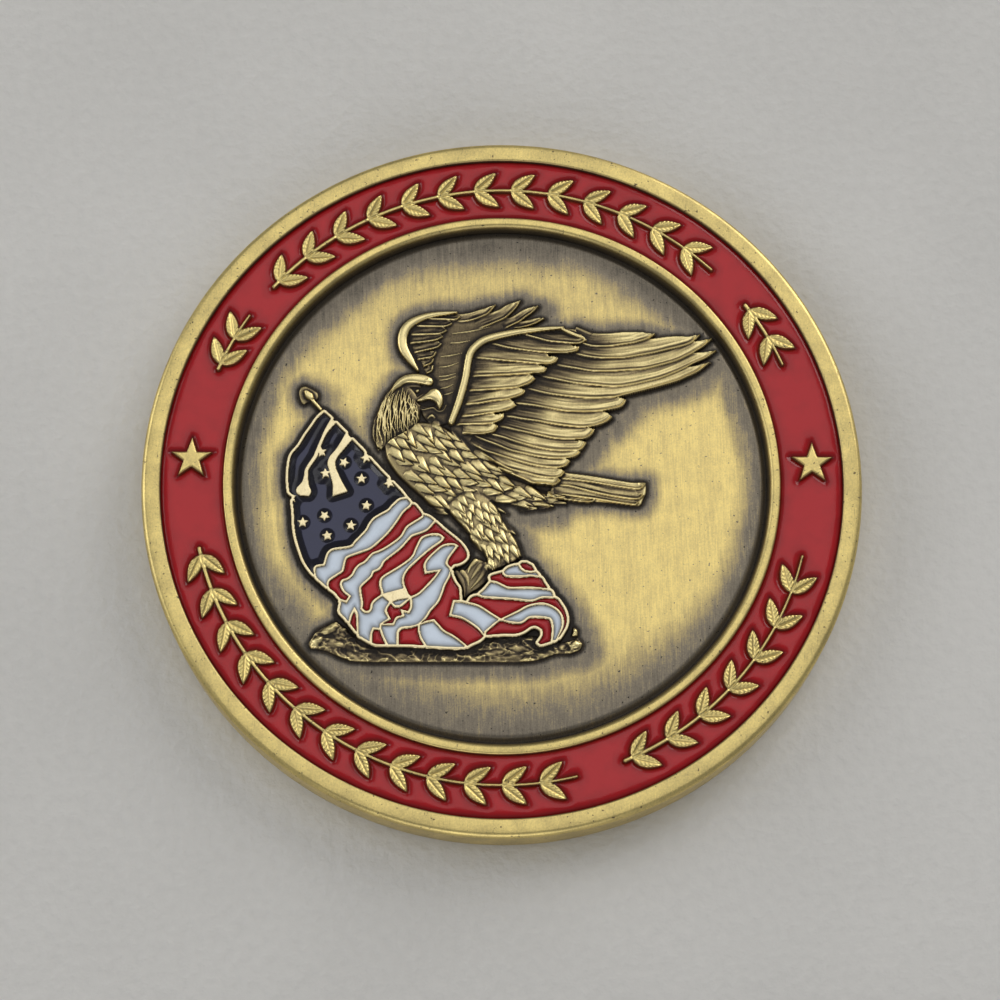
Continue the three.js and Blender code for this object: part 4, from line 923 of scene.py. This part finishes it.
def obverse_wear():
    # painted shadow beside the flag, weaker on the talons
    flag_painted_shadow = 0.6 * (1 - step_up(distance_from(owner == FLAG, 0.5), 0.05, 0.42)) * (owner != FLAG)
    flag_painted_shadow[owner == TALONS] *= 0.4
    on_lines = 0.97 - 1.5 * (1 - step_up(height, FLAG_TOP - 0.2, FLAG_TOP - 0.08))
    on_ring = 0.92 - 0.35 * (1 - step_up(-metal_distance, -0.02, 0.1)) + 3 * narrow * (metal_distance < -0.12)
    worn_and_shaded = np.where(relief, relief_wear(), field_wear())
    worn_and_shaded = np.where(owner == FLAG, on_lines, worn_and_shaded - flag_painted_shadow)
    worn_and_shaded = np.where((owner == SPRIGS) | (owner == STARS), on_ring, worn_and_shaded)
    return np.clip(worn_and_shaded, 0, 1)


wear = obverse_wear()

# ---------------------------------------------------------------- meshes

def new_piece(name, vertices, faces, material, slot, *nodes, **attributes):
    """A mesh from millimetre vertices, with float attributes by name, riding on the coin."""
    mesh = bpy.data.meshes.new(name)
    vertices = np.asarray(vertices, np.float32) * MM
    faces = np.asarray(faces, np.int32)
    sides = faces.shape[1]
    mesh.vertices.add(len(vertices))
    mesh.vertices.foreach_set("co", vertices.ravel())
    mesh.loops.add(faces.size)
    mesh.loops.foreach_set("vertex_index", faces.ravel())
    mesh.polygons.add(len(faces))
    mesh.polygons.foreach_set("loop_start", np.arange(0, faces.size, sides, dtype=np.int32))
    mesh.update(calc_edges=True)
    mesh.polygons.foreach_set("use_smooth", np.ones(len(faces), bool))
    for label, values in attributes.items():
        layer = mesh.attributes.new(label, "FLOAT", "POINT")
        layer.data.foreach_set("value", np.asarray(values, np.float32).ravel())
    mesh.validate()
    mesh.materials.append(material)
    piece = bpy.data.objects.new(name, mesh)
    bpy.context.scene.collection.objects.link(piece)
    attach(piece, "root")
    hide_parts(*nodes)
    return piece


def map_normals():
    down, across = np.gradient(height, STEP)
    normals = np.stack([-across, -down, np.ones_like(height)], -1)
    return normals / np.linalg.norm(normals, axis=-1, keepdims=True)


def block_owner():
    """What each block of cells belongs to: the most raised thing in or beside it."""
    grown = owner.copy()
    for axis in (0, 1):
        for shift in (-2, -1, 1, 2):
            grown = np.maximum(grown, np.roll(owner, shift, axis))
    count = 2 * HALF_CELLS // BLOCK
    owners = np.zeros((count, count), np.int8)
    for i in range(BLOCK + 1):
        for j in range(BLOCK + 1):
            part = grown[i:i + count * BLOCK:BLOCK, j:j + count * BLOCK:BLOCK]
            owners = np.maximum(owners, part[:count, :count])
    return owners


def quads_from(rows, columns, stride):
    """Square faces at the given lower-left corners of the map, as indices into the whole map."""
    width = grid_x.shape[1]
    first = rows * width + columns
    return np.stack([first, first + stride, first + stride * width + stride, first + stride * width], 1)


def map_piece(name, owners, who, material, stride=1, area=None, back=False):
    """The blocks of the map with certain owners as a piece, on the obverse or turned to the reverse."""
    chosen = np.isin(owners, who)
    if area is not None:
        chosen &= area
    rows, columns = np.nonzero(chosen)
    rows, columns = rows * BLOCK, columns * BLOCK
    if stride == 1:
        offsets = [(i, j) for i in range(BLOCK) for j in range(BLOCK)]
        rows = np.concatenate([rows + i for i, _ in offsets])
        columns = np.concatenate([columns + j for _, j in offsets])
    faces = quads_from(rows, columns, stride)
    used, index = np.unique(faces, return_inverse=True)
    vertices = np.stack([grid_x.ravel()[used], grid_y.ravel()[used], height.ravel()[used]], 1)
    faces, facing = index.reshape(-1, 4), normals.reshape(-1, 3)[used]
    if back:
        vertices[:, 2] = REVERSE_DEPTH - vertices[:, 2]
        faces, facing = faces[:, ::-1], facing * (1, 1, -1)
    piece = new_piece(name, vertices, faces, material, "antique_brass", "coin_body", wear=wear.ravel()[used])
    piece.data.normals_split_custom_set_from_vertices(facing.tolist())


def turned_piece(name, profile, material, wears, around=720):
    """A profile of [radius, height] points turned about the coin's axis, closed round."""
    profile = np.array(profile, float)
    angles = np.arange(around) * 2 * math.pi / around
    rings = len(profile)
    vertices = np.stack([
        np.outer(np.cos(angles), profile[:, 0]),
        np.outer(np.sin(angles), profile[:, 0]),
        np.outer(np.ones(around), profile[:, 1]),
    ], -1).reshape(-1, 3)
    i, j = np.meshgrid(np.arange(around), np.arange(rings - 1), indexing="ij")
    following = (i + 1) % around
    faces = np.stack([i * rings + j, following * rings + j, following * rings + j + 1, i * rings + j + 1], -1)
    return new_piece(name, vertices, faces.reshape(-1, 4), material, "antique_brass", "coin_body",
                     wear=np.tile(wears, around))


# ---------------------------------------------------------------- materials

class Shading:
    """A node material, with short names for the nodes it is wired from."""

    def __init__(self, name, **settings):
        self.material = bpy.data.materials.new(name)
        self.material.use_nodes = True
        self.tree = self.material.node_tree
        self.shader = self.tree.nodes["Principled BSDF"]
        self.place = self.add("ShaderNodeTexCoord").outputs["Object"]
        for label, value in settings.items():
            self.shader.inputs[label.replace("_", " ")].default_value = value

    def add(self, kind, **properties):
        node = self.tree.nodes.new(kind)
        for label, value in properties.items():
            setattr(node, label, value)
        return node

    def feed(self, socket, value):
        if isinstance(value, (int, float)):
            socket.default_value = value
        else:
            self.tree.links.new(value, socket)

    def attribute(self, name):
        return self.add("ShaderNodeAttribute", attribute_name=name).outputs["Fac"]

    def noise(self, size, detail=2, stretch=(1, 1, 1), turn=0.0, rough=0.5):
        """Noise from 0 to 1 with features of that size in millimetres."""
        mapping = self.add("ShaderNodeMapping")
        self.tree.links.new(self.place, mapping.inputs["Vector"])
        mapping.inputs["Rotation"].default_value = (0, 0, turn)
        mapping.inputs["Scale"].default_value = stretch
        node = self.add("ShaderNodeTexNoise")
        self.tree.links.new(mapping.outputs["Vector"], node.inputs["Vector"])
        node.inputs["Scale"].default_value = 1 / (size * MM)
        node.inputs["Detail"].default_value = detail
        node.inputs["Roughness"].default_value = rough
        return node.outputs["Fac"]

    def math(self, operation, *values):
        node = self.add("ShaderNodeMath", operation=operation)
        for socket, value in zip(node.inputs, values):
            self.feed(socket, value)
        return node.outputs["Value"]

    def span(self, value, low, high, to_low=0.0, to_high=1.0):
        """The value mapped from one range to another, and clamped."""
        node = self.add("ShaderNodeMapRange")
        for socket, number in zip(node.inputs, (value, low, high, to_low, to_high)):
            self.feed(socket, number)
        return node.outputs["Result"]

    def ramp(self, value, stops):
        node = self.add("ShaderNodeValToRGB")
        self.tree.links.new(value, node.inputs["Fac"])
        elements = node.color_ramp.elements
        while len(elements) < len(stops):
            elements.new(0.5)
        for element, (position, colour) in zip(elements, stops):
            element.position = position
            element.color = (*colour, 1)
        return node.outputs["Color"]

    def mix(self, factor, first, second):
        node = self.add("ShaderNodeMix", data_type="RGBA")
        sockets = [s for s in node.inputs if s.type == "RGBA"]
        self.feed(node.inputs["Factor"], factor)
        for socket, colour in zip(sockets, (first, second)):
            if isinstance(colour, tuple):
                socket.default_value = (*colour, 1)
            else:
                self.tree.links.new(colour, socket)
        return next(s for s in node.outputs if s.type == "RGBA")

    def bump(self, height, depth):
        """Bump whose full swing of height is that deep, in millimetres."""
        node = self.add("ShaderNodeBump")
        node.inputs["Distance"].default_value = depth * MM
        self.tree.links.new(height, node.inputs["Height"])
        self.tree.links.new(node.outputs["Normal"], self.shader.inputs["Normal"])

    def wire(self, **sockets):
        for label, value in sockets.items():
            self.feed(self.shader.inputs[label.replace("_", " ")], value)


PATINA = [                    # colour by wear, from black oxide to rubbed brass
    (0.0, (0.014, 0.009, 0.005)),
    (0.25, (0.085, 0.063, 0.035)),
    (0.5, (0.26, 0.20, 0.10)),
    (0.75, (0.52, 0.41, 0.17)),
    (1.0, (0.89, 0.70, 0.26)),
]
RELIEF_PATINA = [             # creamier highlights
    (0.0, (0.014, 0.009, 0.005)),
    (0.25, (0.085, 0.063, 0.037)),
    (0.5, (0.27, 0.21, 0.115)),
    (0.75, (0.56, 0.45, 0.215)),
    (1.0, (0.94, 0.78, 0.38)),
]
LINE_PATINA = [               # the palest, on the flag's flat lines
    (0.0, (0.014, 0.009, 0.005)),
    (0.25, (0.085, 0.063, 0.035)),
    (0.5, (0.28, 0.21, 0.11)),
    (0.75, (0.60, 0.48, 0.25)),
    (1.0, (0.96, 0.82, 0.50)),
]
FIELD_PATINA = [              # grayer where it is dark
    (0.0, (0.016, 0.012, 0.008)),
    (0.25, (0.10, 0.086, 0.068)),
    (0.5, (0.24, 0.205, 0.155)),
    (0.7, (0.47, 0.37, 0.18)),
    (1.0, (0.86, 0.67, 0.25)),
]


def make_brass(name, colours, hairline_strength, pit_strength):
    """Antique brass: dark oxide in the recesses, rubbed through to bright metal on high points, and darker
    under the painted shadows carried in the same attribute.
    """
    s = Shading(name)
    specks = s.noise(0.09, 3, rough=0.6)
    smears = s.noise(0.9, 3)
    hairlines = s.noise(0.06, 2, stretch=(1, 0.04, 1), turn=0.1)
    pits = s.noise(0.2, 1)
    worn_and_shaded = s.math("ADD", s.attribute("wear"), s.span(specks, 0.3, 0.7, -0.07, 0.06))
    worn_and_shaded = s.math("ADD", worn_and_shaded, s.span(smears, 0.3, 0.7, -0.04, 0.04))
    worn_and_shaded = s.math("ADD", worn_and_shaded, s.span(hairlines, 0.3, 0.7, -hairline_strength, hairline_strength))
    worn_and_shaded = s.math("SUBTRACT", worn_and_shaded, s.span(pits, 0.72, 0.78, 0.0, pit_strength))
    s.wire(
        Base_Color=s.ramp(worn_and_shaded, colours),
        Metallic=s.span(worn_and_shaded, 0.1, 0.5, 0.5, 1.0),
        Roughness=s.span(worn_and_shaded, 0.1, 0.95, 0.5, 0.34),
    )
    grooves = s.math("ADD", s.math("MULTIPLY", specks, 0.5), s.math("MULTIPLY", hairlines, 0.5))
    s.bump(grooves, 0.008)
    return s.material


def make_rim_brass():
    """The same brass on the turned rims: brighter, with pits and fine scratches both ways."""
    s = Shading("rubbed_brass")
    specks = s.noise(0.12, 3, rough=0.65)
    scratches = s.noise(0.06, 2, stretch=(1, 0.08, 1), turn=0.9)
    crossing = s.noise(0.06, 2, stretch=(1, 0.08, 1), turn=-0.7)
    smears = s.noise(1.6, 3)
    pits = s.noise(0.22, 2)
    worn_and_shaded = s.math("ADD", s.attribute("wear"), s.span(specks, 0.25, 0.75, -0.1, 0.06))
    worn_and_shaded = s.math("ADD", worn_and_shaded, s.span(smears, 0.3, 0.7, -0.08, 0.06))
    worn_and_shaded = s.math("SUBTRACT", worn_and_shaded, s.span(scratches, 0.64, 0.8, 0.0, 0.2))
    worn_and_shaded = s.math("SUBTRACT", worn_and_shaded, s.span(crossing, 0.64, 0.8, 0.0, 0.18))
    worn_and_shaded = s.math("SUBTRACT", worn_and_shaded, s.span(pits, 0.68, 0.74, 0.0, 0.5))
    s.wire(
        Base_Color=s.ramp(worn_and_shaded, PATINA),
        Metallic=s.span(worn_and_shaded, 0.1, 0.5, 0.5, 1.0),
        Roughness=s.span(worn_and_shaded, 0.1, 0.95, 0.5, 0.36),
    )
    s.bump(s.math("ADD", s.math("MULTIPLY", specks, 0.6), s.math("MULTIPLY", scratches, 0.4)), 0.009)
    return s.material


def make_enamel(name, deep, thin, speckle, specular, coat):
    """Soft enamel, deep-coloured beside the metal and lighter on its plateaus, with waviness and dust. The
    deep colour beside the metal is painted shade and the lighter plateau colour a painted reflection, over the
    enamel's own colour.
    """
    s = Shading(name, IOR=1.5, Specular_IOR_Level=specular, Coat_Weight=coat, Coat_Roughness=0.06)
    cloud = s.noise(1.1, 3)
    dust = s.noise(0.07, 2, rough=0.6)
    level = s.math("ADD", s.attribute("wear"), s.span(cloud, 0.3, 0.7, -0.12, 0.12))
    colour = s.mix(s.span(level, 0.0, 1.0), deep, thin)
    colour = s.mix(s.span(dust, 0.66, 0.8, 0.0, 0.35), colour, speckle)
    s.wire(Base_Color=colour, Roughness=s.span(dust, 0.3, 0.8, 0.12, 0.24))
    s.bump(s.math("ADD", s.math("MULTIPLY", cloud, 0.8), s.math("MULTIPLY", dust, 0.2)), 0.02)
    return s.material


def make_paper():
    s = Shading("pale_cloth_floor", Roughness=0.9)
    weave = s.noise(0.7, 3)
    cloud = s.noise(22, 2)
    tone = s.math("ADD", s.math("MULTIPLY", weave, 0.35), s.math("MULTIPLY", cloud, 0.65))
    s.wire(Base_Color=s.mix(s.span(tone, 0.35, 0.65), (0.63, 0.612, 0.58), (0.70, 0.68, 0.645)))
    s.bump(weave, 0.12)
    return s.material


relief_brass = make_brass("antique_brass_relief", RELIEF_PATINA, 0.03, 0.25)
field_brass = make_brass("antique_brass_field", FIELD_PATINA, 0.06, 0.45)
line_brass = make_brass("antique_brass_lines", LINE_PATINA, 0.03, 0.15)
rim_brass = make_rim_brass()
# Each enamel is given its colour beside the metal, its colour on the plateaus, and its dust: the deeper colour
# beside the metal is painted shade, and the lighter plateau colour a painted reflection, over the enamel's own
# colour.
ENAMELS = {                   # by material slot
    "red_enamel": make_enamel(
        "red_enamel_fill", (0.15, 0.002, 0.003), (0.47, 0.007, 0.012), (0.4, 0.04, 0.04), 0.3, 0.2),
    "white_enamel": make_enamel(
        "white_enamel_fill", (0.36, 0.39, 0.43), (0.70, 0.78, 0.88), (0.45, 0.44, 0.42), 0.4, 0.4),
    "navy_enamel": make_enamel(
        "navy_enamel_fill", (0.003, 0.002, 0.007), (0.014, 0.016, 0.056), (0.06, 0.06, 0.1), 0.45, 0.2),
}

# ---------------------------------------------------------------- cut the map into pieces

normals = map_normals()
rubbed_flat = 0.8 * step_up(height, FLAG_TOP - 0.12, FLAG_TOP - 0.04) * (owner == FLAG)
normals += rubbed_flat[..., None] * (np.array([0, 0, 1]) - normals)
normals /= np.linalg.norm(normals, axis=-1, keepdims=True)
owners = block_owner()
under_enamel = np.zeros(height.shape, bool)      # the cells' floors, which the enamel hides
for near, depth in cell_depth.values():
    under_enamel[near] |= (depth > 0.14) & (owner[near] == FLAG)
owners[under_enamel[:-1:BLOCK, :-1:BLOCK] & under_enamel[BLOCK::BLOCK, BLOCK::BLOCK]] = -1

blocks = owners.shape[0]
block_radius = radius[BLOCK // 2::BLOCK, BLOCK // 2::BLOCK][:blocks, :blocks]
bearing = np.degrees(np.arctan2(grid_y, grid_x))[1::BLOCK, 1::BLOCK][:blocks, :blocks] % 360
on_left = (bearing > 90) & (bearing < 270)
inside_ring = block_radius < BEAD_FOOT + 0.16
on_ring = ~inside_ring
map_piece("field", owners, [FIELD], field_brass, BLOCK, inside_ring)
map_piece("field_edge", owners, [GROOVE], field_brass, 1, inside_ring)
RELIEF_PIECES = {
    "back_wing": BACK_WING, "tail": TAIL, "front_wing": FRONT_WING, "rock": ROCK, "talons": TALONS,
    "eagle_body": BODY, "eagle_head": HEAD, "flag_metal": FLAG, "flag_staff": STAFF,
}
SPRIG_MARGIN = 6              # degrees beyond its stem that a sprig reaches
for name, who in RELIEF_PIECES.items():
    map_piece(name, owners, [who], line_brass if who == FLAG else relief_brass, 1, inside_ring)
for number, (start, end) in enumerate(SPRIGS_AROUND):
    low, high = min(start, end) - SPRIG_MARGIN, max(start, end) + SPRIG_MARGIN
    along_sprig = on_ring & (bearing > low) & (bearing < high)
    map_piece(f"laurel_{number + 1}", owners, [SPRIGS], rim_brass, 1, along_sprig)
map_piece("ring_star_left", owners, [STARS], rim_brass, 1, on_ring & on_left)
map_piece("ring_star_right", owners, [STARS], rim_brass, 1, on_ring & ~on_left)

# ---------------------------------------------------------------- reverse
# A star and a wreath, on the map wiped clean.

REVERSE_LIFT = 0.3
REVERSE_SUNK = 0.05
WREATH_PAIRS = 28
WREATH_RADIUS = 17.1
WREATH_LEAF = (2.9, 1.3)      # length and width
STAR, WREATH = 1, 2           # owners on the reverse


def lay_reverse(loop, crown, reach, who, carving):
    """A cushioned shape less its carving, in millimetres above the reverse's ground."""
    where = window(loop, 0.1)
    x, y = grid_x[where], grid_y[where]
    inside = depth_inside([loop], x, y)
    rise = 1 - np.clip(inside / reach, 0, 1)
    surface = crown * (0.55 + 0.45 * np.sqrt(1 - rise**2)) - carving(x, y)
    lay(where, surface, inside, who, 0.12)


def make_reverse():
    star_tips = star_loop(0, 0, 9, 3.6)

    def star_facets(x, y):
        """Folds from the star's middle to its points and inner corners."""
        bearing = np.arctan2(y, x) - math.pi / 2
        turn = np.abs((bearing / (2 * math.pi / 5) + 0.5) % 1 - 0.5) * 2
        return 0.16 * turn * np.clip(1 - np.hypot(x, y) / 12, 0, 1) + 0.012 * rough_noise(x, y, 0.4, 95)

    lay_reverse(star_tips, REVERSE_LIFT, 0.5, STAR, star_facets)
    for pair in range(WREATH_PAIRS):
        degrees = 360 * (pair + 0.5) / WREATH_PAIRS
        x, y = polar(WREATH_RADIUS, degrees)
        growth = math.radians(degrees + 90)
        for side in (1, -1):
            direction = growth - side * math.radians(38)

            def leaf_veins(px, py, x=x, y=y, direction=direction):
                along, aside = turned(px - x, py - y, direction)
                veins = 0.02 * np.cos((along - 0.9 * np.abs(aside)) * 2 * math.pi / 0.5)
                return 0.09 * np.exp(-((aside / 0.09) ** 2)) + veins

            leaf = leaf_loop(x, y, direction, *WREATH_LEAF)
            lay_reverse(leaf, REVERSE_LIFT * 0.85, 0.4, WREATH, leaf_veins)


height = np.full(grid_x.shape, -REVERSE_SUNK)
owner = np.zeros(grid_x.shape, np.int8)
make_reverse()
wear = np.clip(0.5 + 1.4 * height + 3 * (height - blurred(height, 0.2)), 0, 1)
normals = map_normals()
owners = block_owner()
map_piece("reverse_star", owners, [STAR], relief_brass, 1, back=True)
map_piece("reverse_wreath_left", owners, [WREATH], relief_brass, 1, on_left, back=True)
map_piece("reverse_wreath_right", owners, [WREATH], relief_brass, 1, ~on_left, back=True)

# ---------------------------------------------------------------- enamel

def enamel_piece(name, where, keep, surface, level, slot, stride=1):
    """A sheet of enamel over the kept points of a window of the map, at every stride-th point."""
    x, y, keep, surface, level = (
        values[::stride, ::stride] for values in (grid_x[where], grid_y[where], keep, surface, level))
    down, across = np.gradient(surface, STEP * stride)
    facing = np.stack([-across, -down, np.ones_like(surface)], -1)
    facing /= np.linalg.norm(facing, axis=-1, keepdims=True)
    rows, columns = np.nonzero(keep[:-1, :-1] | keep[1:, :-1] | keep[:-1, 1:] | keep[1:, 1:])
    width = surface.shape[1]
    first = rows * width + columns
    faces = np.stack([first, first + 1, first + width + 1, first + width], 1)
    used, index = np.unique(faces, return_inverse=True)
    vertices = np.stack([x.ravel()[used], y.ravel()[used], surface.ravel()[used]], 1)
    piece = new_piece(name, vertices, index.reshape(-1, 4), ENAMELS[slot], slot, name.removesuffix("_fill"),
                      wear=level.ravel()[used])
    piece.data.normals_split_custom_set_from_vertices(facing.reshape(-1, 3)[used].tolist())


def navy_depth(border, stars, x, y):
    """Distance from the canton's metal, with round steps about its free stars."""
    away = blurred(depth_inside([border], x, y), 0.2)
    for star in stars:
        middle = star.mean(0)
        away = np.minimum(away, np.hypot(x - middle[0], y - middle[1]) - 0.1)
    return away


# Each cell's level is painted light: low beside the metal and round the canton's stars, where the colour is
# painted shade, and high on the plateaus, where the lighter colour is a painted reflection.
for name, (near, depth) in cell_depth.items():
    x, y = grid_x[near], grid_y[near]
    from_metal = np.clip(depth, 0, None)
    if name in NAVY_CELLS:
        border, *stars = cell_loops[name]
        away = navy_depth(border, stars, x, y)
        dip = 0.3 * np.clip(0.4 - away, 0, None)
        level = step_up(away, 0.32, 0.46)
    else:
        dip = 0.03 * np.exp(-from_metal / 0.07) + 0.08 * np.exp(-from_metal / 0.26)
        level = 1 - np.exp(-from_metal / 0.16)
    surface = CELL_ENAMEL_TOP + 0.03 - dip + 0.008 * rough_noise(x, y, 1.2, 90, 2)
    enamel_piece(name + "_fill", near, depth > -0.02, surface, level, name.split("_")[0] + "_enamel")

UNDER_METAL = 0.12            # how far the ring's enamel runs on under the metal beside it
whole = (slice(None), slice(None))
from_metal = np.clip(metal_distance, 0, None)
ring_surface = RING_ENAMEL_TOP - 0.015 - 0.16 * np.exp(-from_metal / 0.22)
ring_surface = ring_surface + 0.012 * rough_noise(grid_x, grid_y, 1.5, 91, 2)
# Painted light on the ring's enamel: darker beside the metal as painted shade, lighter away from it as a
# painted reflection.
ring_sheen_and_shade = 1 - np.exp(-from_metal / 0.3)
in_ring = (radius > RING_INNER - UNDER_METAL) & (radius < RING_OUTER + UNDER_METAL)
in_ring &= metal_distance > -UNDER_METAL
enamel_piece("red_ring_enamel_fill", whole, in_ring, ring_surface, ring_sheen_and_shade, "red_enamel", BLOCK)

# ---------------------------------------------------------------- rims, edge and reverse

def rounded(corner_x, corner_z, r, start, end, steps=6):
    """Points of a round edge about a centre, between two angles in degrees."""
    angles = np.radians(np.linspace(start, end, steps + 1))
    return [[corner_x + r * math.cos(a), corner_z + r * math.sin(a)] for a in angles]


def worn_by_height(points, below_rim, wears):
    """Wear between stated depths below the rim's top, deepest first."""
    return np.interp([z for _, z in points], [RIM_TOP - depth for depth in below_rim], wears)


inner_side = [
    [RING_OUTER - 0.03, RING_FLOOR - 0.1],
    *rounded(RING_OUTER + SMALL_ROUND, RIM_TOP - SMALL_ROUND, SMALL_ROUND, 180, 90),
]
edge = [
    [21.9, RIM_TOP],
    *rounded(COIN_RADIUS - EDGE_ROUND, RIM_TOP - EDGE_ROUND, EDGE_ROUND, 90, 0),
    *rounded(COIN_RADIUS - EDGE_ROUND, EDGE_ROUND, EDGE_ROUND, 0, -90),
    [21.5, 0],
]
reverse_step = rounded(REVERSE_RIM + SMALL_ROUND, SMALL_ROUND, SMALL_ROUND, -90, -180)
reverse_corner = [[REVERSE_RIM - 0.05, REVERSE_DEPTH - 0.05], [REVERSE_RIM - 0.15, REVERSE_DEPTH]]
reverse_ground = [[r, REVERSE_DEPTH] for r in (*range(20, 0, -2), 0.02)]
rim_wear = [
    *worn_by_height(inner_side, (0.3, 0.05, 0), (0.05, 0.6, 0.9)),
    *[0.9] * len(edge),
    *[0.86] * (len(reverse_step) - 1), 0.4,
    0.2, 0.4,
    *[0.5] * len(reverse_ground),
]
outer_rim = inner_side + edge + reverse_step + reverse_corner + reverse_ground
turned_piece("rim_edge_and_reverse", outer_rim, rim_brass, rim_wear)
bead = [
    [BEAD_FOOT - 0.02, GROOVE_FLOOR - 0.05],
    [BEAD_FOOT + 0.06, RIM_TOP - 0.42],
    *rounded(BEAD_FOOT + 0.12 + BEAD_SHOULDER, RIM_TOP - BEAD_SHOULDER, BEAD_SHOULDER, 165, 90, 9),
    *rounded(RING_INNER - SMALL_ROUND, RIM_TOP - SMALL_ROUND, SMALL_ROUND, 90, 0),
    [RING_INNER + 0.03, RING_FLOOR - 0.1],
]
turned_piece("inner_bead", bead, rim_brass, worn_by_height(bead, (0.5, 0.3, 0.08, 0),
                                                           (0.12, 0.6, 0.74, 0.93)))

# ---------------------------------------------------------------- floor, light and camera

bpy.ops.mesh.primitive_plane_add(size=1.6, location=(0, 0, 0))
floor = bpy.context.object
floor.name = "floor"
floor.data.materials.append(make_paper())

scene = bpy.context.scene
scene.view_settings.view_transform = "Standard"
world = bpy.data.worlds.new("studio")
world.use_nodes = True
world.node_tree.nodes["Background"].inputs["Color"].default_value = (0.94, 0.97, 1.0, 1)
world.node_tree.nodes["Background"].inputs["Strength"].default_value = 0.26
scene.world = world


def soft_light(name, tilt, azimuth, distance, size, power, colour=(1, 1, 1)):
    """A square light at a tilt from overhead towards an azimuth from +X, in degrees, facing the coin."""
    light = bpy.data.lights.new(name, "AREA")
    light.shape = "SQUARE"
    light.size = size
    light.energy = power
    light.color = colour
    lamp = bpy.data.objects.new(name, light)
    a, b = math.radians(tilt), math.radians(azimuth)
    away = Vector((math.sin(a) * math.cos(b), math.sin(a) * math.sin(b), math.cos(a)))
    lamp.location = away * distance
    lamp.rotation_euler = away.to_track_quat("Z", "Y").to_euler()
    scene.collection.objects.link(lamp)


soft_light("overhead_softbox", 17, 90, 0.6, 0.42, 0.52)
soft_light("upper_right_fill", 60, 50, 0.8, 0.5, 2.3, (1, 0.985, 0.96))
soft_light("left_fill", 62, 165, 0.8, 0.5, 1.5, (0.97, 0.985, 1))
soft_light("front_fill", 62, 265, 0.8, 0.5, 1.2)

# The camera's place and tilts fit the photograph's view of the coin's circles.
CAMERA_PLACE = (-0.96, -47.93, 171.27)       # millimetres from the coin's foot
CAMERA_TILT, CAMERA_LEAN, CAMERA_ROLL = (math.radians(degrees) for degrees in (15.483, -0.287, 0.3975))
camera_data = bpy.data.cameras.new("camera")
camera_data.sensor_width = 36
camera_data.lens = 100.89
camera_data.clip_start = 0.01
camera = bpy.data.objects.new("camera", camera_data)
roll = Euler((0, 0, CAMERA_ROLL)).to_matrix()
camera.location = roll @ Vector(CAMERA_PLACE) * MM
tilt = Euler((0, CAMERA_LEAN, 0)).to_matrix() @ Euler((CAMERA_TILT, 0, 0)).to_matrix()
camera.rotation_euler = (roll @ tilt).to_euler()
scene.collection.objects.link(camera)
scene.camera = camera
